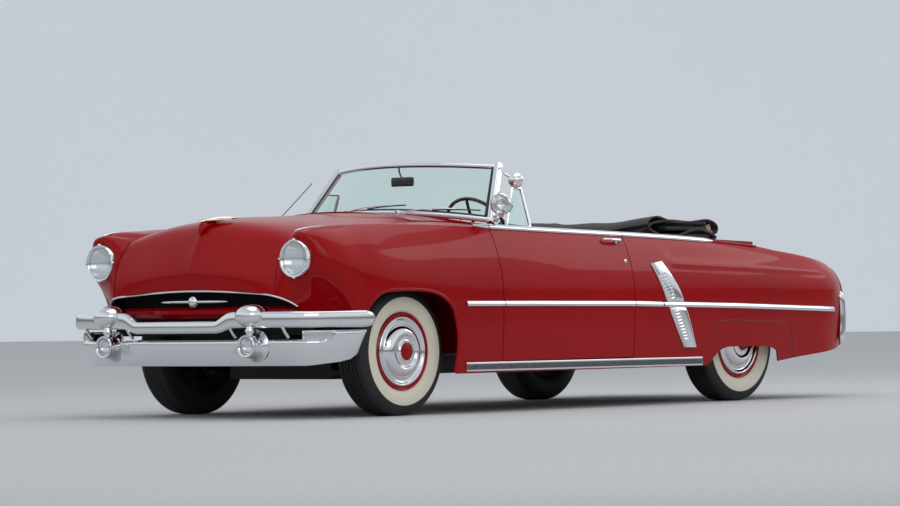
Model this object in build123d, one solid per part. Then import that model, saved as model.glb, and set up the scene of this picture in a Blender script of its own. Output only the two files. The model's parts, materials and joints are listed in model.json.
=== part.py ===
from build123d import *
import math
import os

# Open two-door convertible car. Millimetres, +X forward, +Y to the car's left, +Z up.
# The origin is on the ground, on the centre line, at mid length.

# Driving dimensions
LENGTH = 5438.0
WIDTH = 1966.0
WHEELBASE = 3124.0
FRONT_OVERHANG = 970.0
TREAD = 1486.0
TYRE_RADIUS = 352.0
TYRE_WIDTH = 206.0
SILL_Z = 222.0
DOOR_LENGTH = 1200.0
DOOR_AHEAD = 725.0
FIT = 0.3
PANEL_GAP = 6.0

FRONT_AXLE_X = LENGTH / 2 - FRONT_OVERHANG
REAR_AXLE_X = FRONT_AXLE_X - WHEELBASE
FRONT_END_X = LENGTH / 2
REAR_END_X = -LENGTH / 2
HALF_WIDTH = WIDTH / 2
WHEEL_Y = TREAD / 2

# Body skin: its stations are named from the axles and the doors
DOOR_FRONT_X = FRONT_AXLE_X - DOOR_AHEAD
DOOR_REAR_X = DOOR_FRONT_X - DOOR_LENGTH
FENDER_FRONT_X = FRONT_AXLE_X + 741.0
HOOD_REAR_X = FRONT_AXLE_X - 350.0
TAIL_X = REAR_AXLE_X - 1105.0
SEAM_Y = 603.0
SKIN = 18.0
HOOD_SKIN = 20.0
DOOR_BOTTOM_Z = 286.0
DOOR_TOP_Z = 1200.0
BELT_INNER_Y = 800.0
WALL_FOOT_Y = 846.0
TRIM_PROUD = 17.0
SIDE_BULGE_Y = HALF_WIDTH - TRIM_PROUD - 2.0

# Columns: x, seam height at SEAM_Y, crown y and z, widest y and z, sill y
SIDE_STATIONS = [
    (FENDER_FRONT_X, 880, 735, 1006, SIDE_BULGE_Y - 114, 850, 650),
    (FRONT_AXLE_X + 640, 970, 748, 1026, SIDE_BULGE_Y - 66, 830, 760),
    (FRONT_AXLE_X + 420, 1028, 784, 1040, SIDE_BULGE_Y - 18, 760, 900),
    (FRONT_AXLE_X, 1054, 812, 1046, SIDE_BULGE_Y, 690, 940),
    (HOOD_REAR_X, 1068, 830, 1044, SIDE_BULGE_Y, 660, 942),
    (DOOR_FRONT_X, 1064, 856, 1030, SIDE_BULGE_Y - 2, 640, 940),
    (DOOR_REAR_X, 1010, 866, 992, SIDE_BULGE_Y - 3, 635, 938),
    (REAR_AXLE_X + 520, 985, 860, 968, SIDE_BULGE_Y, 645, 938),
    (REAR_AXLE_X - 100, 950, 848, 932, SIDE_BULGE_Y + 2, 650, 935),
    (REAR_AXLE_X - 620, 905, 836, 884, SIDE_BULGE_Y - 18, 645, 915),
    (REAR_AXLE_X - 960, 850, 800, 832, SIDE_BULGE_Y - 62, 640, 870),
    (TAIL_X, 800, 745, 776, SIDE_BULGE_Y - 132, 630, 790),
]

# Front wheel arch: outline in side view, from the axle, then the fender's lower front edge
ARCH_POINTS = [(-320, 100), (-338, 420), (-306, 560), (-242, 626), (-150, 668), (0, 688),
               (110, 690), (270, 684), (342, 652), (398, 600), (414, 572), (520, 604),
               (680, 600), (742, 720), (742, 640), (900, 640), (900, 100)]
# Rear wheel opening under the skirt, from the rear axle
SKIRT_OPENING = [(600, 100), (516, 209), (440, 230), (365, 302), (268, 329), (-142, 325),
                 (-251, 301), (-270, 244), (-260, 100)]
TAIL_UNDERSIDE = [(-240, 100), (-252, 232), (-468, 280), (-1005, 300), (-1200, 322), (-1400, 340),
                  (-1400, 100)]

# Running gear
RIM_RADIUS = 215.0
ARCH_CLEAR_RADIUS = TYRE_RADIUS + 48
KINGPIN_Y = 655.0
AXLE_RADIUS = 38.0
RAIL_INNER_Y = 380.0
RAIL_OUTER_Y = 440.0
RAIL_BOTTOM_Z = 215.0
RAIL_TOP_Z = 318.0
RAIL_FRONT_TOP_Z = 430.0
FLOOR_TOP_Z = 334.0
KNUCKLE_TOP_Z = 455.0

os.makedirs("parts", exist_ok=True)


def block(x0, x1, y0, y1, z0, z1):
    """Box between two opposite corners."""
    size = (abs(x1 - x0), abs(y1 - y0), abs(z1 - z0))
    middle = ((x0 + x1) / 2, (y0 + y1) / 2, (z0 + z1) / 2)
    return Pos(*middle) * Box(*size)


def side_prism(points, y0, y1, x_from=0.0):
    """Outline of (x, z) points, extruded across the car from y0 to y1."""
    outline = make_face(Polyline(*[(x_from + x, y0, z) for x, z in points], close=True))
    return extrude(outline, amount=y1 - y0, dir=(0, 1, 0))


def cross_prism(points, x0, x1):
    """Outline of (y, z) points, extruded along the car from x0 to x1."""
    outline = make_face(Polyline(*[(x0, y, z) for y, z in points], close=True))
    return extrude(outline, amount=x1 - x0, dir=(1, 0, 0))


def plan_prism(points, z0, z1):
    """Outline of (x, y) points, extruded upwards from z0 to z1."""
    outline = make_face(Polyline(*[(x, y, z0) for x, y in points], close=True))
    return extrude(outline, amount=z1 - z0, dir=(0, 0, 1))


def tube_y(x, z, radius, y0, y1):
    return Pos(x, (y0 + y1) / 2, z) * Rot(90, 0, 0) * Cylinder(radius, abs(y1 - y0))


def tube_x(y, z, radius, x0, x1):
    return Pos((x0 + x1) / 2, y, z) * Rot(0, 90, 0) * Cylinder(radius, abs(x1 - x0))


def tube_z(x, y, radius, z0, z1):
    return Pos(x, y, (z0 + z1) / 2) * Cylinder(radius, abs(z1 - z0))


def mirrored(shape):
    return shape.mirror(Plane.XZ)


def both_sides(shape):
    """The left piece and its mirror image on the right."""
    return Compound(children=[*shape.solids(), *mirrored(shape).solids()])


def rod(start, end, radius):
    """Round bar between two points."""
    line = Line(start, end)
    return sweep(Plane(origin=start, z_dir=line % 0) * Circle(radius), path=line)


def save(shape, node):
    export_step(shape, f"parts/{node}.step")


def arc_middle(widest, end):
    """Middle point of the arc that is upright at the widest point and runs to the end point."""
    dy = widest[0] - end[0]
    dz = end[1] - widest[1]
    radius = (dy * dy + dz * dz) / (2 * dy)
    half = math.atan2(abs(dz), radius - dy) / 2
    return (widest[0] - radius * (1 - math.cos(half)), widest[1] + math.copysign(radius * math.sin(half), dz))


def side_wire(station, inset, inner_y):
    """Closed cross section of the left flank, moved inwards by inset."""
    x, seam_z, crown_y, crown_z, wide_y, wide_z, sill_y = station
    foot_z = SILL_Z - inset
    top = (inner_y, seam_z - inset)
    crown = (crown_y - inset, crown_z - inset)
    wide = (wide_y - inset, wide_z)
    foot = (sill_y - inset, foot_z)
    lift = ((top[0] + crown[0]) / 2, (top[1] + crown[1]) / 2 + 5)
    upper = arc_middle(wide, crown)
    lower = arc_middle(wide, foot)
    at = lambda point: (x, point[0], point[1])
    return Wire([
        Edge.make_three_point_arc(at(top), at(lift), at(crown)),
        Edge.make_three_point_arc(at(crown), at(upper), at(wide)),
        Edge.make_three_point_arc(at(wide), at(lower), at(foot)),
        Edge.make_line(at(foot), (x, inner_y, foot_z)),
        Edge.make_line((x, inner_y, foot_z), at(top)),
    ])


def side_solid(inset, inner_y):
    return Solid.make_loft([side_wire(station, inset, inner_y) for station in SIDE_STATIONS])


FLANK = side_solid(0.0, SEAM_Y)
INNER_SKIN = side_solid(SKIN, SEAM_Y - SKIN) & block(
    TAIL_X + SKIN, FENDER_FRONT_X - SKIN, 0, WIDTH, 0, LENGTH)
FLANK_SKIN = FLANK - INNER_SKIN
ARCH_CUT = side_prism(ARCH_POINTS, 0, WIDTH, FRONT_AXLE_X)


def wall_y(z):
    """Inner face of the door and cabin wall, leaning inwards with height."""
    share = (z - SILL_Z) / (DOOR_TOP_Z - SILL_Z)
    return WALL_FOOT_Y + (BELT_INNER_Y - WALL_FOOT_Y) * share


def door_zone(x0, x1, z0, z1):
    """Room outside the cabin's inner wall line, between two stations and two heights."""
    line = [(wall_y(z0), z0), (wall_y(z1), z1), (WIDTH, z1), (WIDTH, z0)]
    return cross_prism(line, x0, x1)


# Front fenders: crowned shell with the lamp hole, the wheel arch and the raised cheek
LAMP_Y = 728.0
LAMP_Z = 859.0
LAMP_RADIUS = 102.0
LAMP_CAN_RADIUS = 88.0


def front_fender():
    zone = block(DOOR_FRONT_X + PANEL_GAP, FENDER_FRONT_X + SKIN, SEAM_Y + PANEL_GAP / 2, WIDTH, 0, LENGTH)
    shell = (FLANK_SKIN & zone) - ARCH_CUT
    shell -= tube_x(LAMP_Y, LAMP_Z, LAMP_CAN_RADIUS + FIT, FENDER_FRONT_X - 60, FENDER_FRONT_X + 60)
    return shell


save(both_sides(front_fender()), "front_fenders")


# Doors: full-thickness slabs with the belt ledge on top
DOOR_SLANT = 30.0


def door_span(gap):
    """Zone between the door's ends, widened by a gap."""
    ends = [(DOOR_FRONT_X + gap, BELT_INNER_Y - 60), (DOOR_REAR_X + DOOR_SLANT - gap, BELT_INNER_Y - 60),
            (DOOR_REAR_X - gap, HALF_WIDTH), (DOOR_REAR_X - gap, WIDTH), (DOOR_FRONT_X + gap, WIDTH)]
    return plan_prism(ends, 0, DOOR_TOP_Z)


def door():
    wall = door_zone(DOOR_REAR_X, DOOR_FRONT_X, DOOR_BOTTOM_Z, DOOR_TOP_Z)
    return FLANK & door_span(0) & wall


LEFT_DOOR = door()
save(LEFT_DOOR, "door_left")
save(mirrored(LEFT_DOOR), "door_right")

# Rear quarters: thick wall beside the cabin, shell beside the luggage space
WELL_REAR_X = REAR_AXLE_X - 180.0


def quarter():
    front = [(DOOR_REAR_X - PANEL_GAP + DOOR_SLANT, BELT_INNER_Y - 60), (DOOR_REAR_X - PANEL_GAP, HALF_WIDTH),
             (DOOR_REAR_X - PANEL_GAP, WIDTH),
             (TAIL_X - SKIN, WIDTH), (TAIL_X - SKIN, SEAM_Y - 60),
             (DOOR_REAR_X - PANEL_GAP + DOOR_SLANT, SEAM_Y - 60)]
    zone = plan_prism(front, 0, DOOR_TOP_Z)
    cabin_wall = FLANK & door_zone(WELL_REAR_X, DOOR_REAR_X + DOOR_SLANT, SILL_Z, DOOR_TOP_Z)
    rear_shell = FLANK_SKIN & block(TAIL_X - SKIN, WELL_REAR_X, SEAM_Y + PANEL_GAP / 2, WIDTH, 0, LENGTH)
    body = (cabin_wall + rear_shell) & zone
    body -= block(WELL_REAR_X, DOOR_REAR_X + 2 * DOOR_SLANT, 0, WIDTH, 0, SILL_Z + 1)
    body -= tube_y(REAR_AXLE_X, TYRE_RADIUS, ARCH_CLEAR_RADIUS, 500, WHEEL_Y + TYRE_WIDTH / 2 + 50)
    body -= side_prism(SKIRT_OPENING, 0, WIDTH, REAR_AXLE_X)
    body -= side_prism(TAIL_UNDERSIDE, 0, WIDTH, REAR_AXLE_X)
    return body


save(both_sides(quarter()), "rear_quarters")

# Hood: half profiles across the car, from the lip over the nose to the windscreen end
HOOD_NOSE = FRONT_AXLE_X + 797.0
# Columns: y, lip (x back from nose, z), nose z and x back, brow, crown, rear height
HOOD_PROFILES = [
    (0, 14, 698, 0, 783, 58, 919, 146, 1045, 296, 1086, 1106, 1131),
    (300, 14, 690, 3, 780, 64, 915, 150, 1030, 296, 1071, 1092, 1120),
    (480, 16, 678, 14, 778, 78, 908, 154, 1004, 296, 1046, 1070, 1098),
    (SEAM_Y - PANEL_GAP / 2, 22, 667, 34, 785, 91, 905, 156, 972, 296, 1012, 1046, 1069),
]


def hood_wire(row, inset):
    y, lip, lip_z, nose, nose_z, brow, brow_z, mid, mid_z, crown, crown_z, back_mid_z, back_z = row
    rear = HOOD_REAR_X
    centre_x = (HOOD_NOSE - crown + rear) / 2
    outer = [(HOOD_NOSE - lip, lip_z), (HOOD_NOSE - nose, nose_z), (HOOD_NOSE - brow, brow_z),
             (HOOD_NOSE - mid, mid_z), (HOOD_NOSE - crown, crown_z), (centre_x, back_mid_z), (rear, back_z)]
    shift = [(-inset, 0), (-inset, 0), (-inset, -inset / 2), (-inset * 0.7, -inset * 0.7), (0, -inset),
             (0, -inset), (0, -inset)]
    inner = [(x + dx, z + dz) for (x, z), (dx, dz) in zip(outer, shift)]
    at = lambda point: (point[0], y, point[1])
    edges = []
    for path in (outer, inner[::-1]):
        for i in (0, 2, 4):
            edges.append(Edge.make_three_point_arc(at(path[i]), at(path[i + 1]), at(path[i + 2])))
    edges.insert(3, Edge.make_line(at(outer[-1]), at(inner[-1])))
    edges.append(Edge.make_line(at(inner[0]), at(outer[0])))
    return Wire(edges)


def hood():
    half = Solid.make_loft([hood_wire(row, HOOD_SKIN) for row in HOOD_PROFILES])
    return half + mirrored(half)


HOOD = hood()
save(HOOD, "hood")

# Plain spear ornament on the hood's crown, with two short swept wings
ORNAMENT_X = FRONT_AXLE_X + 600.0


def hood_ornament():
    spear_z = 1092.0
    spear = side_prism([(-190, spear_z - 5), (-20, spear_z + 2), (130, spear_z - 18), (40, spear_z + 22),
                        (-190, spear_z + 12)], -14, 14, ORNAMENT_X)
    wing = plan_prism([(ORNAMENT_X + 60, 10), (ORNAMENT_X - 60, 130), (ORNAMENT_X - 80, 130),
                       (ORNAMENT_X, 10)], spear_z + 2, spear_z + 10)
    return spear + wing + mirrored(wing) - HOOD


save(hood_ornament(), "hood_ornament")

# Cowl: top panel behind the hood, firewall and hinge posts
FIREWALL_X = FRONT_AXLE_X - 500.0
POST_REAR_X = DOOR_FRONT_X + PANEL_GAP


def cowl_wire(x, half, centre_z, edge_z, thickness):
    arc = lambda z_centre, z_edge, sign: Edge.make_three_point_arc(
        (x, sign * half, z_edge), (x, 0, z_centre), (x, -sign * half, z_edge))
    return Wire([
        arc(centre_z, edge_z, 1),
        Edge.make_line((x, -half, edge_z), (x, -half, edge_z - thickness)),
        arc(centre_z - thickness, edge_z - thickness, -1),
        Edge.make_line((x, half, edge_z - thickness), (x, half, edge_z)),
    ])


COWL_HALF = SEAM_Y - PANEL_GAP / 2
SCREEN_BASE_X = FRONT_AXLE_X - 715.0


# Columns: x, half width, centre height, edge height
COWL_STATIONS = [
    (HOOD_REAR_X - PANEL_GAP, COWL_HALF, 1131, 1069),
    (SCREEN_BASE_X + 60, COWL_HALF, 1128, 1066),
    (POST_REAR_X, COWL_HALF, 1122, 1064),
]
SHELF_STATIONS = [
    (POST_REAR_X, BELT_INNER_Y - 8, 1122, 1040),
    (FRONT_AXLE_X - 960, BELT_INNER_Y - 8, 1080, 1040),
]
HINGE_Y = 110.0
HINGE_HALF = 30.0


def cowl_top(thickness):
    """Panel from the hood to the windscreen, and the shelf behind it."""
    front = Solid.make_loft([cowl_wire(*row, thickness) for row in COWL_STATIONS], True)
    return front + Solid.make_loft([cowl_wire(*row, thickness) for row in SHELF_STATIONS], True)


def cowl():
    wall = block(FIREWALL_X, FIREWALL_X + 20, -COWL_HALF, COWL_HALF, FLOOR_TOP_Z, 1060)
    post = block(POST_REAR_X, POST_REAR_X + 90, COWL_HALF - 120, WALL_FOOT_Y - 20, FLOOR_TOP_Z, 1010)
    brace = block(POST_REAR_X, FIREWALL_X + 20, COWL_HALF - 120, COWL_HALF - 100, FLOOR_TOP_Z, 1010)
    sides = post + brace
    for low in (380, 850):
        sides += block(DOOR_FRONT_X + FIT, POST_REAR_X + 40, BELT_INNER_Y, WALL_FOOT_Y + 40, low, low + 60)
    rest_z = HOOD_PROFILES[0][-1] - HOOD_SKIN - 5.4
    sides += block(FIREWALL_X, HOOD_REAR_X + 20, HINGE_Y - HINGE_HALF, HINGE_Y + HINGE_HALF, rest_z - 24, rest_z)
    sides += block(FIREWALL_X, FIREWALL_X + 20, HINGE_Y - HINGE_HALF, HINGE_Y + HINGE_HALF, 1050, rest_z)
    return cowl_top(SKIN) + wall + sides + mirrored(sides)


save(cowl(), "cowl")

# Windscreen: a curved slab between a base arc and a header arc
SCREEN_BASE = ((FRONT_AXLE_X - 925, 738, 1070), (FRONT_AXLE_X - 715, 0, 1130))
SCREEN_HEAD = ((FRONT_AXLE_X - 1140, 618, 1398), (FRONT_AXLE_X - 960, 0, 1424))
SCREEN_DEPTH = 38.0
SCREEN_FOOT = -0.08
COWL_CORE = 120.0
GLASS_THICKNESS = 6.0
FRAME_BORDER = 26.0


def between(a, b, share):
    return tuple(p + (q - p) * share for p, q in zip(a, b))


def screen_wire(share, border, ahead, depth):
    """Curved strip across the screen at a share of its height."""
    side = between(SCREEN_BASE[0], SCREEN_HEAD[0], share)
    middle = between(SCREEN_BASE[1], SCREEN_HEAD[1], share)
    run = (middle[0] - side[0], middle[2] - side[2])
    length = math.hypot(*run)
    step = (run[0] / length, run[1] / length)
    half = side[1] - border
    pull = border / side[1]
    corner = between(side, middle, pull * pull + 0.6 * pull)
    shifted = lambda p, y, d: (p[0] + step[0] * d, y, p[2] + step[1] * d)
    front = [shifted(corner, half, ahead), shifted(middle, 0, ahead), shifted(corner, -half, ahead)]
    back = [shifted(corner, -half, ahead - depth), shifted(middle, 0, ahead - depth),
            shifted(corner, half, ahead - depth)]
    return Wire([
        Edge.make_three_point_arc(*front),
        Edge.make_line(front[2], back[0]),
        Edge.make_three_point_arc(*back),
        Edge.make_line(back[2], front[0]),
    ])


def screen_slab(low, high, border, ahead, depth):
    return Solid.make_loft([screen_wire(low, border, ahead, depth), screen_wire(high, border, ahead, depth)], True)


def windscreen_frame():
    whole = screen_slab(SCREEN_FOOT, 1, 0, 0, SCREEN_DEPTH)
    return whole - cowl_top(COWL_CORE) - screen_slab(0.09, 0.92, FRAME_BORDER, 40, SCREEN_DEPTH + 80)


def windscreen_glass():
    inset = FRAME_BORDER + FIT
    return screen_slab(0.092, 0.918, inset, -12, GLASS_THICKNESS)


WINDSCREEN_FRAME = windscreen_frame()
save(WINDSCREEN_FRAME, "windscreen_frame")
save(windscreen_glass(), "windscreen_glass")

# Sills and floor
SILL_OUTER_Y = 935.0
RISER_X = REAR_AXLE_X + 560.0
SHELF_Z = 540.0
TUNNEL_HALF = 110.0
TUNNEL_TOP_Z = 440.0
SHEET = 14.0


def sills():
    inner_y = WALL_FOOT_Y - PANEL_GAP
    outline = [(BELT_INNER_Y, SILL_Z), (SILL_OUTER_Y, SILL_Z), (SILL_OUTER_Y + 4, DOOR_BOTTOM_Z - PANEL_GAP),
               (inner_y, DOOR_BOTTOM_Z - PANEL_GAP), (inner_y, FLOOR_TOP_Z), (BELT_INNER_Y, FLOOR_TOP_Z)]
    ends = door_span(PANEL_GAP - FIT)
    outer = cross_prism(outline, DOOR_REAR_X - DOOR_SLANT, POST_REAR_X) & ends
    inner = block(RISER_X, DOOR_REAR_X + DOOR_SLANT + PANEL_GAP, BELT_INNER_Y, inner_y, SILL_Z, FLOOR_TOP_Z)
    return outer + inner


save(both_sides(sills()), "sills")


def floor_pan():
    half = BELT_INNER_Y - FIT
    low = RAIL_TOP_Z + FIT
    high = FLOOR_TOP_Z - FIT
    shelf_z = SHELF_Z + FIT
    cabin = block(RISER_X, FIREWALL_X + 20, -half, half, low, high)
    tunnel = block(RISER_X, FIREWALL_X - FIT, -TUNNEL_HALF, TUNNEL_HALF, low, TUNNEL_TOP_Z)
    bore = block(RISER_X - 1, FIREWALL_X + 21, SHEET - TUNNEL_HALF, TUNNEL_HALF - SHEET, low - 1,
                 TUNNEL_TOP_Z - SHEET)
    riser = block(RISER_X, RISER_X + SHEET, -600, 600, high, shelf_z + SHEET) - bore
    shelf = block(TAIL_X + 40, RISER_X + SHEET, -600, 600, shelf_z, shelf_z + SHEET)
    return cabin + tunnel - bore + riser + shelf


save(floor_pan(), "floor_pan")

# Ladder frame with a kick-up over the rear axle
FRAME_REAR_X = TAIL_X + 60.0
FRAME_FRONT_X = FRONT_AXLE_X + 760.0


def frame():
    rail = side_prism([
        (FRAME_FRONT_X, 330), (FRAME_FRONT_X, RAIL_FRONT_TOP_Z), (FRONT_AXLE_X + 300, RAIL_FRONT_TOP_Z),
        (FRONT_AXLE_X - 470, RAIL_TOP_Z),
        (RISER_X, RAIL_TOP_Z), (REAR_AXLE_X + 300, SHELF_Z), (REAR_AXLE_X - 300, SHELF_Z),
        (REAR_AXLE_X - 560, 470), (FRAME_REAR_X, 470), (FRAME_REAR_X, 390), (REAR_AXLE_X - 600, 390),
        (REAR_AXLE_X - 330, 450), (REAR_AXLE_X + 260, 450), (REAR_AXLE_X + 480, RAIL_BOTTOM_Z),
        (FRONT_AXLE_X - 440, RAIL_BOTTOM_Z), (FRONT_AXLE_X + 240, 330)], RAIL_INNER_Y, RAIL_OUTER_Y)
    rails = rail + mirrored(rail)
    middle = block(-250, -170, -RAIL_INNER_Y, RAIL_INNER_Y, RAIL_BOTTOM_Z, RAIL_BOTTOM_Z + 50)
    tower = block(FRONT_AXLE_X - 110, FRONT_AXLE_X + 110, RAIL_INNER_Y, RAIL_OUTER_Y, 330, KNUCKLE_TOP_Z + 40)
    rear = block(FRAME_REAR_X, FRAME_REAR_X + 60, -RAIL_INNER_Y, RAIL_INNER_Y, 400, 460)
    kick = block(REAR_AXLE_X + 300, REAR_AXLE_X + 360, -RAIL_INNER_Y, RAIL_INNER_Y, 460, 530)
    front = block(FRAME_FRONT_X - 60, FRAME_FRONT_X, -RAIL_INNER_Y, RAIL_INNER_Y, 350, 420)
    cradle = block(FRONT_AXLE_X - 80, FRONT_AXLE_X + 80, -RAIL_INNER_Y, RAIL_INNER_Y, 200, 330)
    cradle += block(FRONT_AXLE_X - 80, FRONT_AXLE_X + 80, -RAIL_INNER_Y, RAIL_INNER_Y, 320, 345)
    return rails + middle + rear + kick + front + cradle + tower + mirrored(tower)


save(frame(), "frame")

# Engine, gearbox and drive line
ENGINE_BOTTOM_Z = 346.0


def engine():
    body = block(FRONT_AXLE_X - 420, FRONT_AXLE_X + 280, -260, 260, ENGINE_BOTTOM_Z, 860)
    gearbox = block(FRONT_AXLE_X - 480, FRONT_AXLE_X - 420, -150, 150, ENGINE_BOTTOM_Z + 30, 600)
    return body + gearbox


save(engine(), "engine")
RADIATOR_X = FRONT_AXLE_X + 500.0


def radiator():
    core = block(RADIATOR_X, RADIATOR_X + 60, -300, 300, 430, 900)
    cradle = block(RADIATOR_X, RADIATOR_X + 60, FIT - RAIL_INNER_Y, RAIL_INNER_Y - FIT, 400, 430)
    return core + cradle


save(radiator(), "radiator")
save(rod((FRONT_AXLE_X - 560, 0, 290), (REAR_AXLE_X + 131, 0, 345), 24), "propshaft")


def rear_axle():
    housing = tube_y(REAR_AXLE_X, TYRE_RADIUS, AXLE_RADIUS, -KINGPIN_Y, KINGPIN_Y)
    pinion = tube_x(0, TYRE_RADIUS, 90, REAR_AXLE_X - 60, REAR_AXLE_X + 130)
    differential = Pos(REAR_AXLE_X, 0, TYRE_RADIUS) * Sphere(125)
    spindle = tube_y(REAR_AXLE_X, TYRE_RADIUS, 24, -WHEEL_Y, WHEEL_Y)
    return housing + pinion + differential + spindle


save(rear_axle(), "rear_axle")


def leaf_springs():
    seat_z = TYRE_RADIUS - AXLE_RADIUS - FIT
    path = [(520, 318), (0, seat_z - 12), (-640, 372), (-640, 384), (0, seat_z), (520, 330)]
    leaf = side_prism(path, RAIL_OUTER_Y + 30, RAIL_OUTER_Y + 80, REAR_AXLE_X)
    front_eye = block(REAR_AXLE_X + 500, REAR_AXLE_X + 540, RAIL_OUTER_Y + FIT, RAIL_OUTER_Y + 80, 300, 345)
    shackle = block(REAR_AXLE_X - 660, REAR_AXLE_X - 625, RAIL_OUTER_Y + FIT, RAIL_OUTER_Y + 80, 372, 440)
    return leaf + front_eye + shackle


save(both_sides(leaf_springs()), "leaf_springs")

# Front suspension: arms and coil springs between the frame and the knuckles
ARM_EYE_Y = KINGPIN_Y - 20.0


def front_arms():
    lower = plan_prism([(FRONT_AXLE_X - 150, RAIL_OUTER_Y + FIT), (FRONT_AXLE_X + 150, RAIL_OUTER_Y + FIT),
                        (FRONT_AXLE_X + 35, KINGPIN_Y + 20), (FRONT_AXLE_X - 35, KINGPIN_Y + 20)], 225, 250)
    return lower


save(both_sides(front_arms()), "front_lower_arms")

KNUCKLE_BOTTOM_Z = 250.0 + FIT


def knuckle():
    post = tube_z(FRONT_AXLE_X, KINGPIN_Y, 22, KNUCKLE_BOTTOM_Z, KNUCKLE_TOP_Z)
    spindle = tube_y(FRONT_AXLE_X, TYRE_RADIUS, 24, KINGPIN_Y, WHEEL_Y)
    return post + spindle


LEFT_KNUCKLE = knuckle()
save(LEFT_KNUCKLE, "knuckle_left")
save(mirrored(LEFT_KNUCKLE), "knuckle_right")


def upper_arms():
    return plan_prism([(FRONT_AXLE_X - 120, RAIL_OUTER_Y + FIT), (FRONT_AXLE_X + 120, RAIL_OUTER_Y + FIT),
                       (FRONT_AXLE_X + 30, KINGPIN_Y + 20), (FRONT_AXLE_X - 30, KINGPIN_Y + 20)],
                      KNUCKLE_TOP_Z + FIT, KNUCKLE_TOP_Z + 20)


save(both_sides(upper_arms()), "front_upper_arms")


# Wheels: tyre ring and pressed wheel with its domed cover
def tyre(axle_x, side):
    half = TYRE_WIDTH / 2
    tread = half - 32
    points = [(RIM_RADIUS - 8, -half + 24), (RIM_RADIUS + 12, -half + 8), (RIM_RADIUS + 62, -half),
              (TYRE_RADIUS - 26, -half + 12), (TYRE_RADIUS - 5, -tread), (TYRE_RADIUS, -tread + 22),
              (TYRE_RADIUS, tread - 22), (TYRE_RADIUS - 5, tread), (TYRE_RADIUS - 26, half - 12),
              (RIM_RADIUS + 62, half), (RIM_RADIUS + 12, half - 8), (RIM_RADIUS - 8, half - 24)]
    outline = make_face(Polyline(*[(radius, across) for radius, across in points], close=True))
    ring = revolve(outline, axis=Axis.Y)
    return Pos(axle_x, side * WHEEL_Y, TYRE_RADIUS) * ring


def wheel(axle_x, side):
    """Profile from the inner rim flange to the outer one, then the cover's dome."""
    half = TYRE_WIDTH / 2 - 24
    edge = RIM_RADIUS - 8 - FIT
    points = [(24 + FIT, -60), (70, -60), (75, 0), (150, 10), (160, -half + 8), (edge, -half), (edge, half),
              (192, half + 6), (165, half - 4), (150, half + 4), (90, half + 22), (50, half + 26),
              (0, half + 30), (0, 6), (24 + FIT, 6)]
    outline = make_face(Polyline(*[(radius, across) for radius, across in points], close=True))
    disc = revolve(outline, axis=Axis.Y)
    if side < 0:
        disc = mirrored(disc)
    return Pos(axle_x, side * WHEEL_Y, TYRE_RADIUS) * disc


for name, axle_x, side in (("front_left", FRONT_AXLE_X, 1), ("front_right", FRONT_AXLE_X, -1),
                           ("rear_left", REAR_AXLE_X, 1), ("rear_right", REAR_AXLE_X, -1)):
    save(tyre(axle_x, side), f"tyre_{name}")
    save(wheel(axle_x, side), f"wheel_{name}")


# Front bumper: upper bar with a central dip, lower bar, bullets and lamps
BUMPER_X = FRONT_END_X - 30.0
BAR_BOTTOM_Z = 478.0
BAR_TOP_Z = 566.0
FOG_Y = 532.0
FOG_Z = 395.0
BUMPER_PLAN = [(0, 0), (-12, 300), (-30, 500), (-60, 690), (-110, 820), (-190, 890), (-320, 930), (-540, 952)]


def bumper_bar(plan, x_front, bottom, top, depth):
    outer = [(x_front + x, y) for x, y in plan]
    inner = [(x - depth if y < 850 else x - 6, y if y < 700 else y - depth) for x, y in outer]
    half = plan_prism(outer + inner[::-1], bottom, top)
    return half + mirrored(half)


def front_bumper():
    upper = bumper_bar(BUMPER_PLAN, BUMPER_X, BAR_BOTTOM_Z, BAR_TOP_Z, 34)
    lower = bumper_bar(BUMPER_PLAN[:6] + [(-400, 915)], BUMPER_X - 60, 290, 424, 30)
    strut = block(BUMPER_X - 105, BUMPER_X - 40, 300, 345, 300, 560)
    bracket = block(FRAME_FRONT_X + FIT, BUMPER_X - 90, RAIL_INNER_Y, RAIL_OUTER_Y, 350, 415)
    bullet = tube_x(465, 546, 66, BUMPER_X - 80, FRONT_END_X - 66)
    bullet += Pos(FRONT_END_X - 66, 465, 546) * Sphere(66)
    carried = strut + bracket + bullet
    return upper + lower + carried + mirrored(carried)


save(front_bumper(), "front_bumper")


def fog_lamps():
    can = tube_x(FOG_Y, FOG_Z, 62, BUMPER_X - 62, BUMPER_X + 2)
    stem = tube_z(BUMPER_X - 50, FOG_Y, 10, FOG_Z + 40, BAR_BOTTOM_Z - FIT)
    return can + stem


save(both_sides(fog_lamps()), "fog_lamps")


def headlamps():
    can = tube_x(LAMP_Y, LAMP_Z, LAMP_CAN_RADIUS, FENDER_FRONT_X - 50, FENDER_FRONT_X + FIT)
    ring = tube_x(LAMP_Y, LAMP_Z, LAMP_RADIUS, FENDER_FRONT_X + FIT, FENDER_FRONT_X + 24)
    return can + ring


save(both_sides(headlamps()), "headlamps")


# Grille: cross bar and mouth surround behind the hood's lip
def grille():
    backing = block(HOOD_NOSE - 200, HOOD_NOSE - 180, -590, 590, RAIL_FRONT_TOP_Z + FIT, 640)
    bar = block(HOOD_NOSE - 40, HOOD_NOSE - 24, -250, 250, 628, 644)
    stay = block(HOOD_NOSE - 185, HOOD_NOSE - 30, -8, 8, 628, 640)
    return backing + bar + stay


save(grille(), "grille")

# Rear deck lid, deck panel and tail panel
LID_FRONT_X = WELL_REAR_X - 12.0
# Columns: y, front z, mid z, shoulder x back from tail and z, tail top z
LID_PROFILES = [
    (0, 972, 950, 140, 892, 790),
    (300, 968, 945, 136, 886, 786),
    (SEAM_Y - PANEL_GAP / 2, 948, 918, 110, 850, 770),
]
LID_BOTTOM_Z = 600.0


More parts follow.
